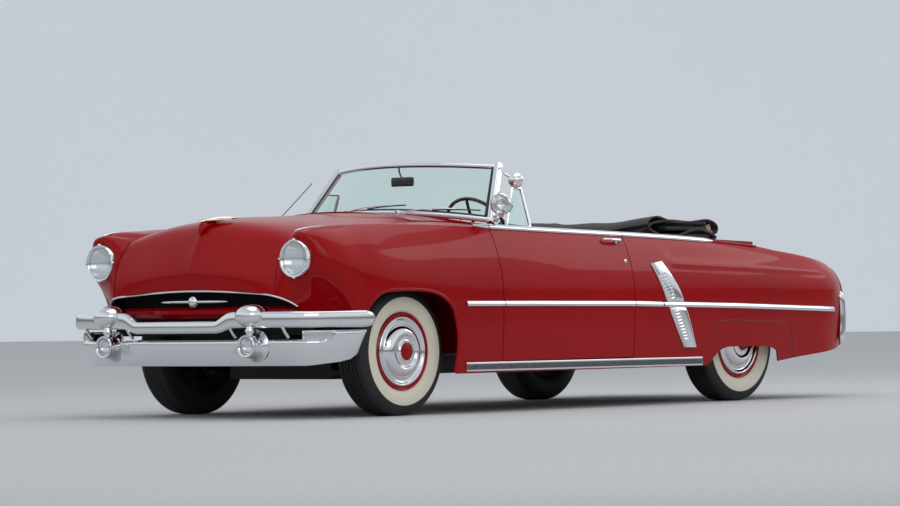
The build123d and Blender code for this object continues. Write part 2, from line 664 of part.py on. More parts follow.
def lid_wire(row, inset):
    y, front_z, mid_z, back, shoulder_z, tail_z = row
    shoulder_x = TAIL_X + back
    outer = [(LID_FRONT_X, front_z), ((LID_FRONT_X + shoulder_x) / 2, mid_z), (shoulder_x, shoulder_z),
             (TAIL_X + back * 0.12, tail_z + (shoulder_z - tail_z) * 0.45), (TAIL_X - 30, tail_z - 60),
             (TAIL_X - 44, (tail_z - 60 + LID_BOTTOM_Z) / 2), (TAIL_X - 40, LID_BOTTOM_Z)]
    shift = [(0, -inset), (0, -inset), (0, -inset), (inset * 0.7, -inset * 0.7), (inset, 0), (inset, 0), (inset, 0)]
    inner = [(x + dx, z + dz) for (x, z), (dx, dz) in zip(outer, shift)]
    at = lambda point: (point[0], y, point[1])
    edges = []
    for path in (outer, inner[::-1]):
        for i in (0, 2, 4):
            edges.append(Edge.make_three_point_arc(at(path[i]), at(path[i + 1]), at(path[i + 2])))
    edges.insert(3, Edge.make_line(at(outer[-1]), at(inner[-1])))
    edges.append(Edge.make_line(at(inner[0]), at(outer[0])))
    return Wire(edges)


def trunk_lid():
    half = Solid.make_loft([lid_wire(row, HOOD_SKIN) for row in LID_PROFILES])
    return half + mirrored(half)


save(trunk_lid(), "trunk_lid")


TAIL_PANEL_Z = 470.0
PLATE_HOLE_Y = 89.0
PLATE_HOLE_Z = 560.0
PLATE_HOLE_RADIUS = 3.5


def tail_panel():
    top_z = LID_BOTTOM_Z - PANEL_GAP
    panel = block(TAIL_X - 40, TAIL_X - SKIN, -SEAM_Y, SEAM_Y, TAIL_PANEL_Z, top_z)
    panel += block(TAIL_X - SKIN, TAIL_X - FIT, -SEAM_Y - 90, SEAM_Y + 90, TAIL_PANEL_Z, top_z)
    for side in (-1, 1):
        panel -= tube_x(side * PLATE_HOLE_Y, PLATE_HOLE_Z, PLATE_HOLE_RADIUS, TAIL_X - 50, TAIL_X)
    return panel


save(tail_panel(), "tail_panel")


def rear_bumper():
    plan = [(0, 0), (-10, 300), (-34, 560), (-90, 760), (-170, 880), (-320, 945), (-480, 962)]
    outer = [(REAR_END_X - x, y) for x, y in plan]
    inner = [(x + 30 if y < 900 else x + 6, y if y < 750 else y - 30) for x, y in outer]
    half = plan_prism(outer + inner[::-1], 400, 560)
    bracket = block(REAR_END_X + 25, FRAME_REAR_X - FIT, RAIL_INNER_Y, RAIL_OUTER_Y, 400, 460)
    return half + mirrored(half) + bracket + mirrored(bracket)


save(rear_bumper(), "rear_bumper")


def tail_lamps():
    return tube_x(700, 690, 45, TAIL_X - 30, TAIL_X - FIT)


save(both_sides(tail_lamps()), "tail_lamps")


# Cabin: dashboard, seats and steering wheel
STEER_CENTRE = (FRONT_AXLE_X - 1190.0, 400.0, 1020.0)
STEER_TILT = 30.0
STEER_RADIUS = 218.0
STEER_RIM = 11.0
COLUMN_LENGTH = 560.0
STEER_HUB_DEPTH = 30.0
COLUMN_RADIUS = 22.0


def column_shape(radius):
    """Round column down from the steering wheel's hub."""
    axis = Vector(math.cos(math.radians(STEER_TILT)), 0, -math.sin(math.radians(STEER_TILT)))
    start = Vector(*STEER_CENTRE) + axis * (STEER_HUB_DEPTH / 2 + FIT)
    return rod(tuple(start), tuple(start + axis * COLUMN_LENGTH), radius)


def dashboard():
    front = POST_REAR_X - FRONT_AXLE_X - FIT
    panel = side_prism([(-960, 850), (-790, 830), (front, 940), (front, 1000), (-760, 1018), (-980, 1018),
                        (-1000, 990)], -770, 770, FRONT_AXLE_X)
    return panel - column_shape(COLUMN_RADIUS + 2 * FIT)


save(dashboard(), "dashboard")


def bench(front_x, back_x, cushion_z, back_top_z, half):
    base = FLOOR_TOP_Z
    seat = side_prism([(front_x, base), (front_x, cushion_z), (back_x + 170, cushion_z - 40),
                       (back_x + 60, back_top_z), (back_x - 60, back_top_z), (back_x + 20, base)], -half, half)
    return seat - block(back_x - 100, front_x + 1, -TUNNEL_HALF - FIT, TUNNEL_HALF + FIT, 0, TUNNEL_TOP_Z + FIT)


save(bench(420, -120, 620, 980, 690), "front_seat")
save(bench(-360, -790, 620, 940, 600), "rear_seat")

# Folded top: soft stack behind the rear seat, on the deck shelf
STACK_REAR_X = WELL_REAR_X + 30.0
DECK_Z = 925.0


def rear_deck_panel():
    half = wall_y(DECK_Z) - FIT
    shelf = block(WELL_REAR_X + FIT, WELL_REAR_X + 580, -half, half, DECK_Z - 20, DECK_Z)
    rest_z = LID_PROFILES[0][1] - HOOD_SKIN - 0.7
    rest = block(LID_FRONT_X - 23, WELL_REAR_X + 10, HINGE_Y - HINGE_HALF, HINGE_Y + HINGE_HALF, DECK_Z - 20, rest_z)
    return shelf + rest + mirrored(rest)


save(rear_deck_panel(), "rear_deck_panel")


def folded_top():
    return side_prism([(0, DECK_Z + FIT), (-10, 1040), (140, 1100), (600, 1106), (760, 1070), (700, 985),
                       (560, DECK_Z + FIT)], -590, 590, STACK_REAR_X)


save(folded_top(), "folded_top")


def steering_wheel():
    ring = Torus(STEER_RADIUS, STEER_RIM)
    hub = Cylinder(32, STEER_HUB_DEPTH)
    spoke = Pos(0, 0, 0) * Box(2 * STEER_RADIUS - STEER_RIM, 22, 8)
    whole = ring + hub + spoke
    return Pos(*STEER_CENTRE) * Rot(0, 90 + STEER_TILT, 0) * Rot(0, 0, 90) * whole


save(steering_wheel(), "steering_wheel")


save(column_shape(COLUMN_RADIUS), "steering_column")


# Chrome trim: bands that follow the flank, cut from a skin that stands proud of it
SPEAR_POINTS = [(-393, 608), (-1919, 595), (-3972, 545)]
SPEAR_HEIGHT = 34.0
SILL_STRIP = [(-393, 236), (-393, 280), (-2575, 273), (-2545, 228)]
GUARD_POINTS = [(-2150, 846), (-2278, 818), (-2420, 560), (-2522, 336), (-2452, 330), (-2340, 560)]
BELT_HEIGHT = 28.0


def spear_zone():
    top = [(x, z + SPEAR_HEIGHT / 2) for x, z in SPEAR_POINTS]
    low = [(x, z - SPEAR_HEIGHT / 2) for x, z in SPEAR_POINTS]
    return side_prism(top + low[::-1], 800, WIDTH, FRONT_AXLE_X)


def belt_rail():
    """Raised band along the top edge of the door and the quarter."""
    rows = [(s[0], s[2], s[3]) for s in SIDE_STATIONS if REAR_AXLE_X + 500 < s[0] < HOOD_REAR_X]
    wires = []
    for x, y, z in rows:
        wires.append(Wire.make_polygon([(x, y - 44, z - 20), (x, y + 4, z - 20), (x, y + 4, z + BELT_HEIGHT - 6),
                                        (x, y - 10, z + BELT_HEIGHT), (x, y - 44, z + BELT_HEIGHT)]))
    return Solid.make_loft(wires, True) - FLANK


PROUD = side_solid(-TRIM_PROUD, SEAM_Y) - FLANK
SPEAR = PROUD & spear_zone()
GUARD = (side_solid(-TRIM_PROUD + 3, SEAM_Y) - FLANK) & side_prism(GUARD_POINTS, 800, WIDTH, FRONT_AXLE_X)
STRIP = (side_solid(-TRIM_PROUD + 7, SEAM_Y) - FLANK) & side_prism(SILL_STRIP, 800, WIDTH, FRONT_AXLE_X)
BELT = belt_rail()


def door_trim():
    return (SPEAR + BELT) & door_span(0)


def side_trim():
    spears = SPEAR - door_span(PANEL_GAP) - GUARD
    belts = BELT - door_span(PANEL_GAP)
    return Compound(children=[*spears.solids(), *belts.solids(), *GUARD.solids(), *STRIP.solids()])


LEFT_DOOR_TRIM = door_trim()
save(both_sides(side_trim()), "side_trim")
save(LEFT_DOOR_TRIM, "door_trim_left")
save(mirrored(LEFT_DOOR_TRIM), "door_trim_right")

# Lamps and mirrors on the left windscreen pillar, antenna on the right fender
def spot_lamp():
    centre = (FRONT_AXLE_X - 790, 905, 1162)
    ball = Pos(*centre) * Sphere(58)
    stem = rod((SCREEN_BASE[0][0] - 16, SCREEN_BASE[0][1] - 12, SCREEN_BASE[0][2] + 12), centre, 11)
    return ball + stem - WINDSCREEN_FRAME


save(spot_lamp(), "spot_lamp")


def antenna():
    base = (FRONT_AXLE_X - 640, -700, 1072)
    tip = (FRONT_AXLE_X - 987, -700, 1328)
    return rod(base, tip, 3) + tube_z(base[0], base[1], 14, 1040, 1078) - mirrored(FLANK)


save(antenna(), "antenna")
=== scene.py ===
import json
import math
from contextlib import contextmanager

import bmesh
import bpy
import numpy as np
from mathutils import Matrix, Vector


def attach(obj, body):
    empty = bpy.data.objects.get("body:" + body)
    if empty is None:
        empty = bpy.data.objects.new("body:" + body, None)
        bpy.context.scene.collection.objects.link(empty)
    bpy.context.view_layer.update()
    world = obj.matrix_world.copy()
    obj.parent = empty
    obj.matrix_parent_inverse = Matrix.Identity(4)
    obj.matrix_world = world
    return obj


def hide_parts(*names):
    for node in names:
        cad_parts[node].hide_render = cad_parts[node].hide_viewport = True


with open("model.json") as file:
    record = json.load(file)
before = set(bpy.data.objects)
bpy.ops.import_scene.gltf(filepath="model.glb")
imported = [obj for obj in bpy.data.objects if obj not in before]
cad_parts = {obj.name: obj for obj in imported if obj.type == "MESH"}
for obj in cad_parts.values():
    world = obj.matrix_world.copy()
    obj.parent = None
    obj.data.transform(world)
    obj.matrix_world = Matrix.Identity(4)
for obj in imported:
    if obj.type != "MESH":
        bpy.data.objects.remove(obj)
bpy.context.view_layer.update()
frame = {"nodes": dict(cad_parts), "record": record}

# Driving dimensions, in metres: +X forward, +Y to the car's left, +Z up
WHEELBASE = 3.124
FRONT_AXLE_X = 1.749
REAR_AXLE_X = FRONT_AXLE_X - WHEELBASE
WHEEL_Y = 0.743
TYRE_RADIUS = 0.352
SIDE_Y = 0.964
SEAM_Y = 0.603
GAP = 0.006
DOOR_FRONT_X = FRONT_AXLE_X - 0.725
DOOR_REAR_X = DOOR_FRONT_X - 1.2
DOOR_BOTTOM_Z = 0.286
HOOD_REAR_X = FRONT_AXLE_X - 0.350
TAIL_X = REAR_AXLE_X - 1.105
WELL_REAR_X = REAR_AXLE_X - 0.180
SILL_Z = 0.222
SIDES = ((1, "left"), (-1, "right"))
AHEAD = (1, 0, 0)
BACKWARDS = (-1, 0, 0)
# Meshes: edges sharper than this many degrees stay crisp, on panels and on round forms
CRISP_ANGLE = 32
SOFT_ANGLE = 60
# Points closer than this are welded
WELD = 1e-6
TINY = 1e-9


# Helpers: curves, grids and meshes
def spline(knots, values, places):
    """Natural cubic spline through rows of values, read at many places."""
    knots = np.asarray(knots, float)
    values = np.asarray(values, float)
    count = len(knots)
    step = np.diff(knots)
    system = np.eye(count)
    right = np.zeros_like(values)
    for i in range(1, count - 1):
        system[i, i - 1:i + 2] = step[i - 1], 2 * (step[i - 1] + step[i]), step[i]
        right[i] = 6 * ((values[i + 1] - values[i]) / step[i] - (values[i] - values[i - 1]) / step[i - 1])
    bend = np.linalg.solve(system, right.reshape(count, -1)).reshape(values.shape)
    places = np.atleast_1d(np.asarray(places, float))
    k = np.clip(np.searchsorted(knots, places) - 1, 0, count - 2)
    shape = (-1,) + (1,) * (values.ndim - 1)
    h = step[k].reshape(shape)
    a = (knots[k + 1] - places).reshape(shape) / h
    b = 1 - a
    return (a * values[k] + b * values[k + 1]
            + ((a ** 3 - a) * bend[k] + (b ** 3 - b) * bend[k + 1]) * h * h / 6)


def smooth(points, count):
    """Even points along a smooth curve through a few points."""
    points = np.asarray(points, float)
    run = np.concatenate([[0], np.cumsum(np.linalg.norm(np.diff(points, axis=0), axis=1))])
    fine = spline(run, points, np.linspace(0, run[-1], count * 8))
    run = np.concatenate([[0], np.cumsum(np.linalg.norm(np.diff(fine, axis=0), axis=1))])
    even = np.linspace(0, run[-1], count)
    return np.stack([np.interp(even, run, fine[:, i]) for i in range(fine.shape[1])], 1)


def ease(value):
    value = np.clip(value, 0, 1)
    return value * value * (3 - 2 * value)


def add_object(name, data):
    obj = bpy.data.objects.new(name, data)
    bpy.context.scene.collection.objects.link(obj)
    return obj


def new_mesh(name, vertices, faces):
    mesh = bpy.data.meshes.new(name)
    mesh.from_pydata([tuple(map(float, v)) for v in vertices], [], [tuple(map(int, f)) for f in faces])
    return mesh


def new_piece(name, part, slot, angle=CRISP_ANGLE, body="body", look=None, node=None):
    """Mesh object that rides on a body and may stand in for a CAD node."""
    mesh = new_mesh(name, *part)
    mesh.validate()
    obj = add_object(name, mesh)
    finish_mesh(obj, angle)
    mesh.materials.append(look or SLOT_LOOK[slot])
    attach(obj, body)
    if node:
        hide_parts(node)
    return obj


@contextmanager
def editing(mesh):
    """Work on a mesh as a bmesh, then write it back."""
    work = bmesh.new()
    work.from_mesh(mesh)
    yield work
    work.to_mesh(mesh)
    work.free()


def is_sharp(edge, angle):
    return edge.is_manifold and edge.calc_face_angle(0) > math.radians(angle)


def finish_mesh(obj, angle=CRISP_ANGLE):
    """Weld the mesh and shade it smooth but for its sharp edges."""
    with editing(obj.data) as work:
        bmesh.ops.remove_doubles(work, verts=work.verts, dist=WELD)
        for face in work.faces:
            face.smooth = True
        for edge in work.edges:
            edge.smooth = not is_sharp(edge, angle)


def grid_faces(rows, columns, wrap_rows=False, wrap_columns=False):
    faces = []
    for i in range(rows if wrap_rows else rows - 1):
        for j in range(columns if wrap_columns else columns - 1):
            k, m = (i + 1) % rows, (j + 1) % columns
            faces.append((i * columns + j, k * columns + j, k * columns + m, i * columns + m))
    return faces


def flip(faces):
    return [tuple(reversed(face)) for face in faces]


def join(parts):
    """One list of vertices and faces from several."""
    vertices, faces = [], []
    for v, f in parts:
        base = len(vertices)
        vertices.extend(list(map(tuple, v)))
        faces.extend([tuple(i + base for i in face) for face in f])
    return vertices, faces


def on_hand(part, side):
    """A part of the left side as it is, or its mirror image for the right."""
    vertices, faces = part
    return part if side > 0 else ([(x, -y, z) for x, y, z in vertices], flip(faces))


def with_mirror(part):
    return join([part, on_hand(part, -1)])


def both_halves(half):
    """Points from the right side through the middle to the left, from those of the left."""
    return [(x, -y, z) for x, y, z in half[:0:-1]] + list(half)


def stretched(part, place, scale):
    """A part scaled along each axis, then moved to a place."""
    vertices, faces = part
    return [tuple(p + v * s for p, v, s in zip(place, vertex, scale)) for vertex in vertices], faces


def inside_outline(outline):
    """Test for points inside a closed outline in side view (x, z)."""
    outline = np.asarray(outline, float)
    following = np.roll(outline, -1, axis=0)

    def test(points):
        x, z = points[..., 0], points[..., 2]
        hit = np.zeros(x.shape, bool)
        for (x0, z0), (x1, z1) in zip(outline, following):
            if z0 == z1:
                continue
            crosses = (z0 > z) != (z1 > z)
            hit ^= crosses & (x < x0 + (z - z0) * (x1 - x0) / (z1 - z0))
        return hit

    return test


def unit_length(vectors):
    """Vectors of length one."""
    return vectors / np.maximum(np.linalg.norm(vectors, axis=-1, keepdims=True), TINY)


def outline_point(kept, gone, cut):
    """Place on the cut's outline between a point that stays and one that goes."""
    for _ in range(10):
        middle = (kept + gone) / 2
        if cut(middle[None])[0]:
            gone = middle
        else:
            kept = middle
    return kept


def shell(points, thickness, cut=None):
    """Closed skin from a grid of points, thickened inwards. Where it is cut, its border is the cut's."""
    points = np.array(points, float)
    rows, columns = points.shape[:2]
    keep = np.ones((rows, columns), bool) if cut is None else ~cut(points)
    normal = unit_length(np.cross(np.gradient(points, axis=0), np.gradient(points, axis=1)))
    moved = points.copy()
    for i, j in np.argwhere(~keep):
        around = [(a, b) for a in range(max(i - 1, 0), min(i + 2, rows))
                  for b in range(max(j - 1, 0), min(j + 2, columns)) if keep[a, b]]
        near = [outline_point(points[place], points[i, j], cut) for place in around]
        if near:
            moved[i, j] = min(near, key=lambda place: np.linalg.norm(place - points[i, j]))
    kept = keep.ravel()
    faces = [face for face in grid_faces(rows, columns) if kept[list(face)].any()]
    outer = moved.reshape(-1, 3)
    count = len(outer)
    border = {}
    for face in faces:
        for a, b in zip(face, face[1:] + face[:1]):
            if (b, a) in border:
                del border[(b, a)]
            else:
                border[(a, b)] = True
    rim = [(b, a, a + count, b + count) for a, b in border]
    back = [tuple(i + count for i in reversed(face)) for face in faces]
    used = sorted({i for face in faces + back + rim for i in face})
    place = {old: new for new, old in enumerate(used)}
    both = np.concatenate([outer, (moved + normal * thickness).reshape(-1, 3)])
    return both[used], [tuple(place[i] for i in face) for face in faces + back + rim]


def frames_along(path, up, closed=False):
    """Side and up directions at each point of a path."""
    path = np.asarray(path, float)
    if closed:
        along = np.roll(path, -1, axis=0) - np.roll(path, 1, axis=0)
    else:
        along = np.gradient(path, axis=0)
    along = unit_length(along)
    side = unit_length(np.cross(along, np.broadcast_to(np.asarray(up, float), path.shape)))
    return side, np.cross(side, along)


def closed_part(rings, closed=False):
    """Part through a row of rings, capped at both ends or joined end to end."""
    rows, columns = rings.shape[:2]
    faces = grid_faces(rows, columns, wrap_rows=closed, wrap_columns=True)
    if not closed:
        faces.append(tuple(range(columns)))
        faces.append(tuple(reversed(range((rows - 1) * columns, rows * columns))))
    return outward((rings.reshape(-1, 3), faces))


def sweep(path, profile, up=(0, 0, 1), scale=1.0, closed=False):
    """Profile of (side, up) points along a path. The profile may differ at each point."""
    path = np.asarray(path, float)
    side, over = frames_along(path, up, closed)
    profile = np.asarray(profile, float)
    if profile.ndim == 2:
        profile = np.broadcast_to(profile, (len(path),) + profile.shape)
    scale = np.broadcast_to(np.asarray(scale, float), (len(path),))[:, None, None]
    rings = path[:, None] + (side[:, None] * profile[..., :1] + over[:, None] * profile[..., 1:]) * scale
    return closed_part(rings, closed)


def disc_profile(radius, count=12, flat=1.0):
    angles = np.linspace(0, 2 * math.pi, count, endpoint=False)
    return np.stack([radius * np.cos(angles), radius * flat * np.sin(angles)], 1)


def box_profile(half_side, low, high, corner):
    """Rectangle with rounded corners, side by up."""
    points = []
    for cx, cy, start in ((half_side - corner, high - corner, 0), (corner - half_side, high - corner, 90),
                          (corner - half_side, low + corner, 180), (half_side - corner, low + corner, 270)):
        for step in range(4):
            angle = math.radians(start + step * 30)
            points.append((cx + corner * math.cos(angle), cy + corner * math.sin(angle)))
    return np.array(points)


def lathe(profile, origin, axis, steps=64):
    """Profile of (radius, along) points turned about an axis."""
    axis = Vector(axis).normalized()
    turn = axis.to_track_quat("Z", "Y").to_matrix()
    rings = []
    for i in range(steps):
        angle = 2 * math.pi * i / steps
        for radius, along in profile:
            point = turn @ Vector((radius * math.cos(angle), radius * math.sin(angle), along))
            rings.append(tuple(Vector(origin) + point))
    return outward((rings, grid_faces(steps, len(profile), wrap_rows=True)))


def tube(points, radius, count=10):
    """Round tube through the points as they are."""
    points = np.asarray(points, float)
    along = points[-1] - points[0]
    up = (0, 0, 1) if abs(along[2]) < 0.8 * np.linalg.norm(along) else (1, 0, 0)
    return sweep(points, disc_profile(radius, count), up)


def slab(corners, direction):
    """Prism from a loop of corners moved along a direction."""
    near = [Vector(c) for c in corners]
    far = [c + Vector(direction) for c in near]
    count = len(near)
    faces = [tuple(range(count)), tuple(reversed(range(count, 2 * count)))]
    for i in range(count):
        j = (i + 1) % count
        faces.append((j, i, i + count, j + count))
    return outward(([tuple(v) for v in near + far], faces))


def outward(part):
    """The same part with its faces turned outwards."""
    mesh = new_mesh("work", *part)
    with editing(mesh) as work:
        bmesh.ops.recalc_face_normals(work, faces=work.faces)
    result = [tuple(v.co) for v in mesh.vertices], [tuple(p.vertices) for p in mesh.polygons]
    bpy.data.meshes.remove(mesh)
    return result


def bevel(obj, width, angle=35):
    """Round the edges of a piece that are sharper than the angle."""
    with editing(obj.data) as work:
        edges = [edge for edge in work.edges if is_sharp(edge, angle)]
        bmesh.ops.bevel(work, geom=edges, offset=width, segments=2, profile=0.5, affect="EDGES",
                        clamp_overlap=True)
    finish_mesh(obj)


def rod(points, count, radius, sides=12, flat=1.0, up=(0, 0, 1)):
    """Rod on a smooth curve through a few points, of one radius or of one for each of its places."""
    return sweep(smooth(points, count), disc_profile(1, sides, flat), up, scale=radius)


def along_run(count, places, sizes):
    """Sizes at even steps of a run from 0 to 1."""
    return np.interp(np.linspace(0, 1, count), places, sizes)


# Materials
def shader_of(made):
    return made.node_tree.nodes["Principled BSDF"]


def material(name, colour, roughness, metallic=0.0, **sockets):
    made = bpy.data.materials.new(name)
    made.use_nodes = True
    inputs = shader_of(made).inputs
    inputs["Base Color"].default_value = (*colour, 1)
    inputs["Roughness"].default_value = roughness
    inputs["Metallic"].default_value = metallic
    for key, value in sockets.items():
        inputs[key.replace("_", " ")].default_value = value
    return made


def texture(made, kind, output, **sockets):
    """Output of a texture laid in the object's coordinates."""
    nodes = made.node_tree.nodes
    node = nodes.new(kind)
    for key, value in sockets.items():
        node.inputs[key].default_value = value
    made.node_tree.links.new(nodes.new("ShaderNodeTexCoord").outputs["Object"], node.inputs["Vector"])
    return node.outputs[output]


def noise(made, scale, detail):
    return texture(made, "ShaderNodeTexNoise", "Fac", Scale=scale, Detail=detail)


def ramp(tree, source, stops):
    """Colour ramp from a source value."""
    node = tree.nodes.new("ShaderNodeValToRGB")
    while len(node.color_ramp.elements) < len(stops):
        node.color_ramp.elements.new(0.5)
    for element, (place, colour) in zip(node.color_ramp.elements, stops):
        element.position = place
        element.color = (*colour, 1)
    tree.links.new(source, node.inputs["Fac"])
    return node.outputs["Color"]


def vary(made, source, socket, *stops):
    """Feed a socket of the material's shader through a ramp."""
    made.node_tree.links.new(ramp(made.node_tree, source, stops), shader_of(made).inputs[socket])


def bump(made, source, distance, strength=1.0):
    tree = made.node_tree
    node = tree.nodes.new("ShaderNodeBump")
    node.inputs["Distance"].default_value = distance
    node.inputs["Strength"].default_value = strength
    tree.links.new(source, node.inputs["Height"])
    tree.links.new(node.outputs["Normal"], shader_of(made).inputs["Normal"])


def grey(value):
    return (value, value, value)


def paint_material():
    made = material("body_paint", (0.335, 0.0008, 0.003), 0.30, Coat_Weight=0.34, Coat_Roughness=0.03,
                    Specular_IOR_Level=0.03)
    vary(made, noise(made, 1.3, 3), "Base Color", (0.3, (0.315, 0.0006, 0.0025)),
         (0.7, (0.365, 0.001, 0.0035)))
    bump(made, noise(made, 160, 2), 0.00004)
    return made


def chrome_material():
    made = material("chrome_plate", (0.80, 0.815, 0.84), 0.05, 1.0)
    vary(made, noise(made, 9, 5), "Roughness", (0.35, grey(0.025)), (0.75, grey(0.08)))
    return made


def rubber_material(name, colour, roughness):
    made = material(name, colour, roughness)
    grain = noise(made, 320, 4)
    vary(made, grain, "Roughness", (0.3, grey(roughness - 0.08)), (0.7, grey(roughness + 0.08)))
    bump(made, grain, 0.0002)
    return made


def hide_material():
    made = material("seat_hide", (0.30, 0.008, 0.012), 0.42)
    bump(made, texture(made, "ShaderNodeTexVoronoi", "Distance", Scale=420), 0.0003, 0.6)
    vary(made, noise(made, 14, 3), "Base Color", (0.3, (0.25, 0.006, 0.010)), (0.75, (0.34, 0.010, 0.015)))
    return made


def cloth_material(name, dark, light, roughness, scale):
    """Woven cloth: two crossed waves for the bump, blotched colour."""
    made = material(name, dark, roughness, Sheen_Weight=0.25)
    weave = made.node_tree.nodes.new("ShaderNodeMath")
    weave.operation = "ADD"
    for direction, socket in zip("XY", weave.inputs):
        wave = texture(made, "ShaderNodeTexWave", "Fac", Scale=scale)
        wave.node.bands_direction = direction
        made.node_tree.links.new(wave, socket)
    bump(made, weave.outputs[0], 0.0004)
    vary(made, noise(made, 18, 4), "Base Color", (0.3, dark), (0.75, light))
    return made


def rough_metal(name, dark, light, metallic, low, high, scale):
    made = material(name, dark, low, metallic)
    patch = noise(made, scale, 6)
    vary(made, patch, "Base Color", (0.3, dark), (0.7, light))
    vary(made, patch, "Roughness", (0.3, grey(low)), (0.7, grey(high)))
    bump(made, noise(made, scale * 12, 4), 0.0004, 0.5)
    return made


PAINT = paint_material()
CHROME = chrome_material()
BLACK_RUBBER = rubber_material("black_rubber", (0.012, 0.012, 0.013), 0.62)
WHITEWALL = rubber_material("cream_rubber", (0.80, 0.74, 0.60), 0.50)
SEAL = rubber_material("seal_rubber", (0.012, 0.012, 0.013), 0.35)
HIDE = hide_material()
CANVAS = cloth_material("black_canvas", (0.012, 0.012, 0.013), (0.030, 0.029, 0.028), 0.85, 260)
LINING = cloth_material("beige_lining", (0.42, 0.34, 0.24), (0.52, 0.43, 0.31), 0.9, 300)
CARPET = cloth_material("floor_pile", (0.05, 0.008, 0.008), (0.10, 0.014, 0.014), 0.95, 420)
CAST = rough_metal("cast_iron", (0.05, 0.05, 0.052), (0.10, 0.10, 0.10), 0.6, 0.5, 0.8, 14)
FRAME_BLACK = rough_metal("frame_black", (0.012, 0.012, 0.012), (0.030, 0.029, 0.028), 0.0, 0.45, 0.7, 9)
# Near-black matte look: painted shade, used for the sheet behind the mouth where there is only shadow
PAINTED_SHADE = material("painted_shade_sheet", (0.006, 0.006, 0.006), 0.9)
GLASS = material("green_glass", (0.82, 0.955, 0.91), 0.02, Transmission_Weight=1.0, IOR=1.12, Alpha=1.0)
LENS = material("lamp_lens", (0.93, 0.95, 0.96), 0.03, Transmission_Weight=0.92, IOR=1.25)
PARK_LENS = material("park_lens", (0.80, 0.82, 0.80), 0.12, Transmission_Weight=0.55, IOR=1.3)
RED_LENS = bpy.data.materials["tail_lens"]
REFLECTOR = material("lamp_reflector", (0.90, 0.91, 0.92), 0.18, 1.0)
GOLD = rough_metal("gilt_metal", (0.75, 0.50, 0.20), (0.85, 0.62, 0.30), 1.0, 0.12, 0.25, 30)
PLASTIC = material("black_plastic", (0.015, 0.015, 0.016), 0.22, Coat_Weight=0.5)
GREY_INSERT = rough_metal("grey_insert", (0.10, 0.10, 0.105), (0.16, 0.16, 0.165), 0.7, 0.3, 0.45, 40)
SLOT_LOOK = {
    "paint": PAINT, "chrome": CHROME, "frame_paint": FRAME_BLACK, "cast": CAST, "glass": GLASS,
    "tail_lens": RED_LENS, "tyre": BLACK_RUBBER, "leather": HIDE, "top_cloth": CANVAS, "carpet": CARPET,
    "plastic": PLASTIC, "wheel_paint": PAINT,
}


def dress_nodes():
    """Give every CAD node that still shows its slot's material."""
    slots = {row["node"]: row["material_slot"] for row in frame["record"]["subparts"]}
    for name, obj in frame["nodes"].items():
        obj.data.materials.clear()
        obj.data.materials.append(GREY_INSERT if name == "antenna" else SLOT_LOOK[slots[name]])


dress_nodes()

# Body side: the stations of the CAD flank
# Columns: x, seam height, crown y and z, widest y and z, sill y
SIDE_STATIONS = [
    (REAR_AXLE_X - 1.105, 0.800, 0.745, 0.802, SIDE_Y - 0.132, 0.630, 0.790),
    (REAR_AXLE_X - 0.960, 0.850, 0.800, 0.832, SIDE_Y - 0.062, 0.640, 0.870),
    (REAR_AXLE_X - 0.620, 0.905, 0.836, 0.884, SIDE_Y - 0.018, 0.645, 0.915),
    (REAR_AXLE_X - 0.100, 0.950, 0.848, 0.932, SIDE_Y + 0.002, 0.650, 0.935),
    (REAR_AXLE_X + 0.520, 0.985, 0.860, 0.968, SIDE_Y, 0.645, 0.938),
    (DOOR_REAR_X, 1.010, 0.866, 0.992, SIDE_Y - 0.003, 0.635, 0.938),
    (DOOR_FRONT_X, 1.064, 0.856, 1.030, SIDE_Y - 0.002, 0.640, 0.940),
    (HOOD_REAR_X, 1.068, 0.830, 1.044, SIDE_Y, 0.660, 0.942),
    (FRONT_AXLE_X, 1.054, 0.812, 1.046, SIDE_Y, 0.690, 0.940),
    (FRONT_AXLE_X + 0.420, 1.028, 0.784, 1.040, SIDE_Y - 0.018, 0.760, 0.900),
    (FRONT_AXLE_X + 0.640, 0.970, 0.748, 1.026, SIDE_Y - 0.066, 0.830, 0.760),
]
CROWN_T = 0.18
WIDE_T = 0.62


def station(x):
    rows = np.array(SIDE_STATIONS)
    return spline(rows[:, 0], rows[:, 1:], x)


def arc_points(wide, end, share):
    """Points on the arc that is upright at the widest point, from there to the end."""
    dy = wide[..., 0] - end[..., 0]
    dz = end[..., 1] - wide[..., 1]
    radius = (dy * dy + dz * dz) / (2 * dy)
    full = np.arctan2(np.abs(dz), radius - dy)
    angle = full * share
    return np.stack([wide[..., 0] - radius * (1 - np.cos(angle)),
                     wide[..., 1] + np.sign(dz) * radius * np.sin(angle)], -1)


def flank(xs, ts):
    """Points of the body side at stations xs and shares ts from the seam, over the crown, to the foot."""
    rows = station(xs)
    seam_z, crown_y, crown_z, wide_y, wide_z, sill_y = [rows[:, i][:, None] for i in range(6)]
    t = np.asarray(ts, float)[None, :]
    zero = np.zeros_like(t + seam_z)
    crown, wide, foot = [np.stack([y + zero, z + zero], -1)
                         for y, z in ((crown_y, crown_z), (wide_y, wide_z), (sill_y, SILL_Z))]
    top_share = np.clip(t / CROWN_T, 0, 1) + zero
    top = np.stack([SEAM_Y + (crown_y - SEAM_Y) * top_share,
                    seam_z + (crown_z - seam_z) * top_share + 0.020 * top_share * (1 - top_share)], -1)
    upper = arc_points(wide, crown, np.clip((WIDE_T - t) / (WIDE_T - CROWN_T), 0, 1) + zero)
    lower = arc_points(wide, foot, np.clip((t - WIDE_T) / (1 - WIDE_T), 0, 1) + zero)
    where = np.broadcast_to(t[..., None], upper.shape)
    yz = np.where(where < CROWN_T, top, np.where(where < WIDE_T, upper, lower))
    x = np.broadcast_to(np.asarray(xs, float)[:, None], yz.shape[:2])
    return np.concatenate([x[..., None], yz], -1)


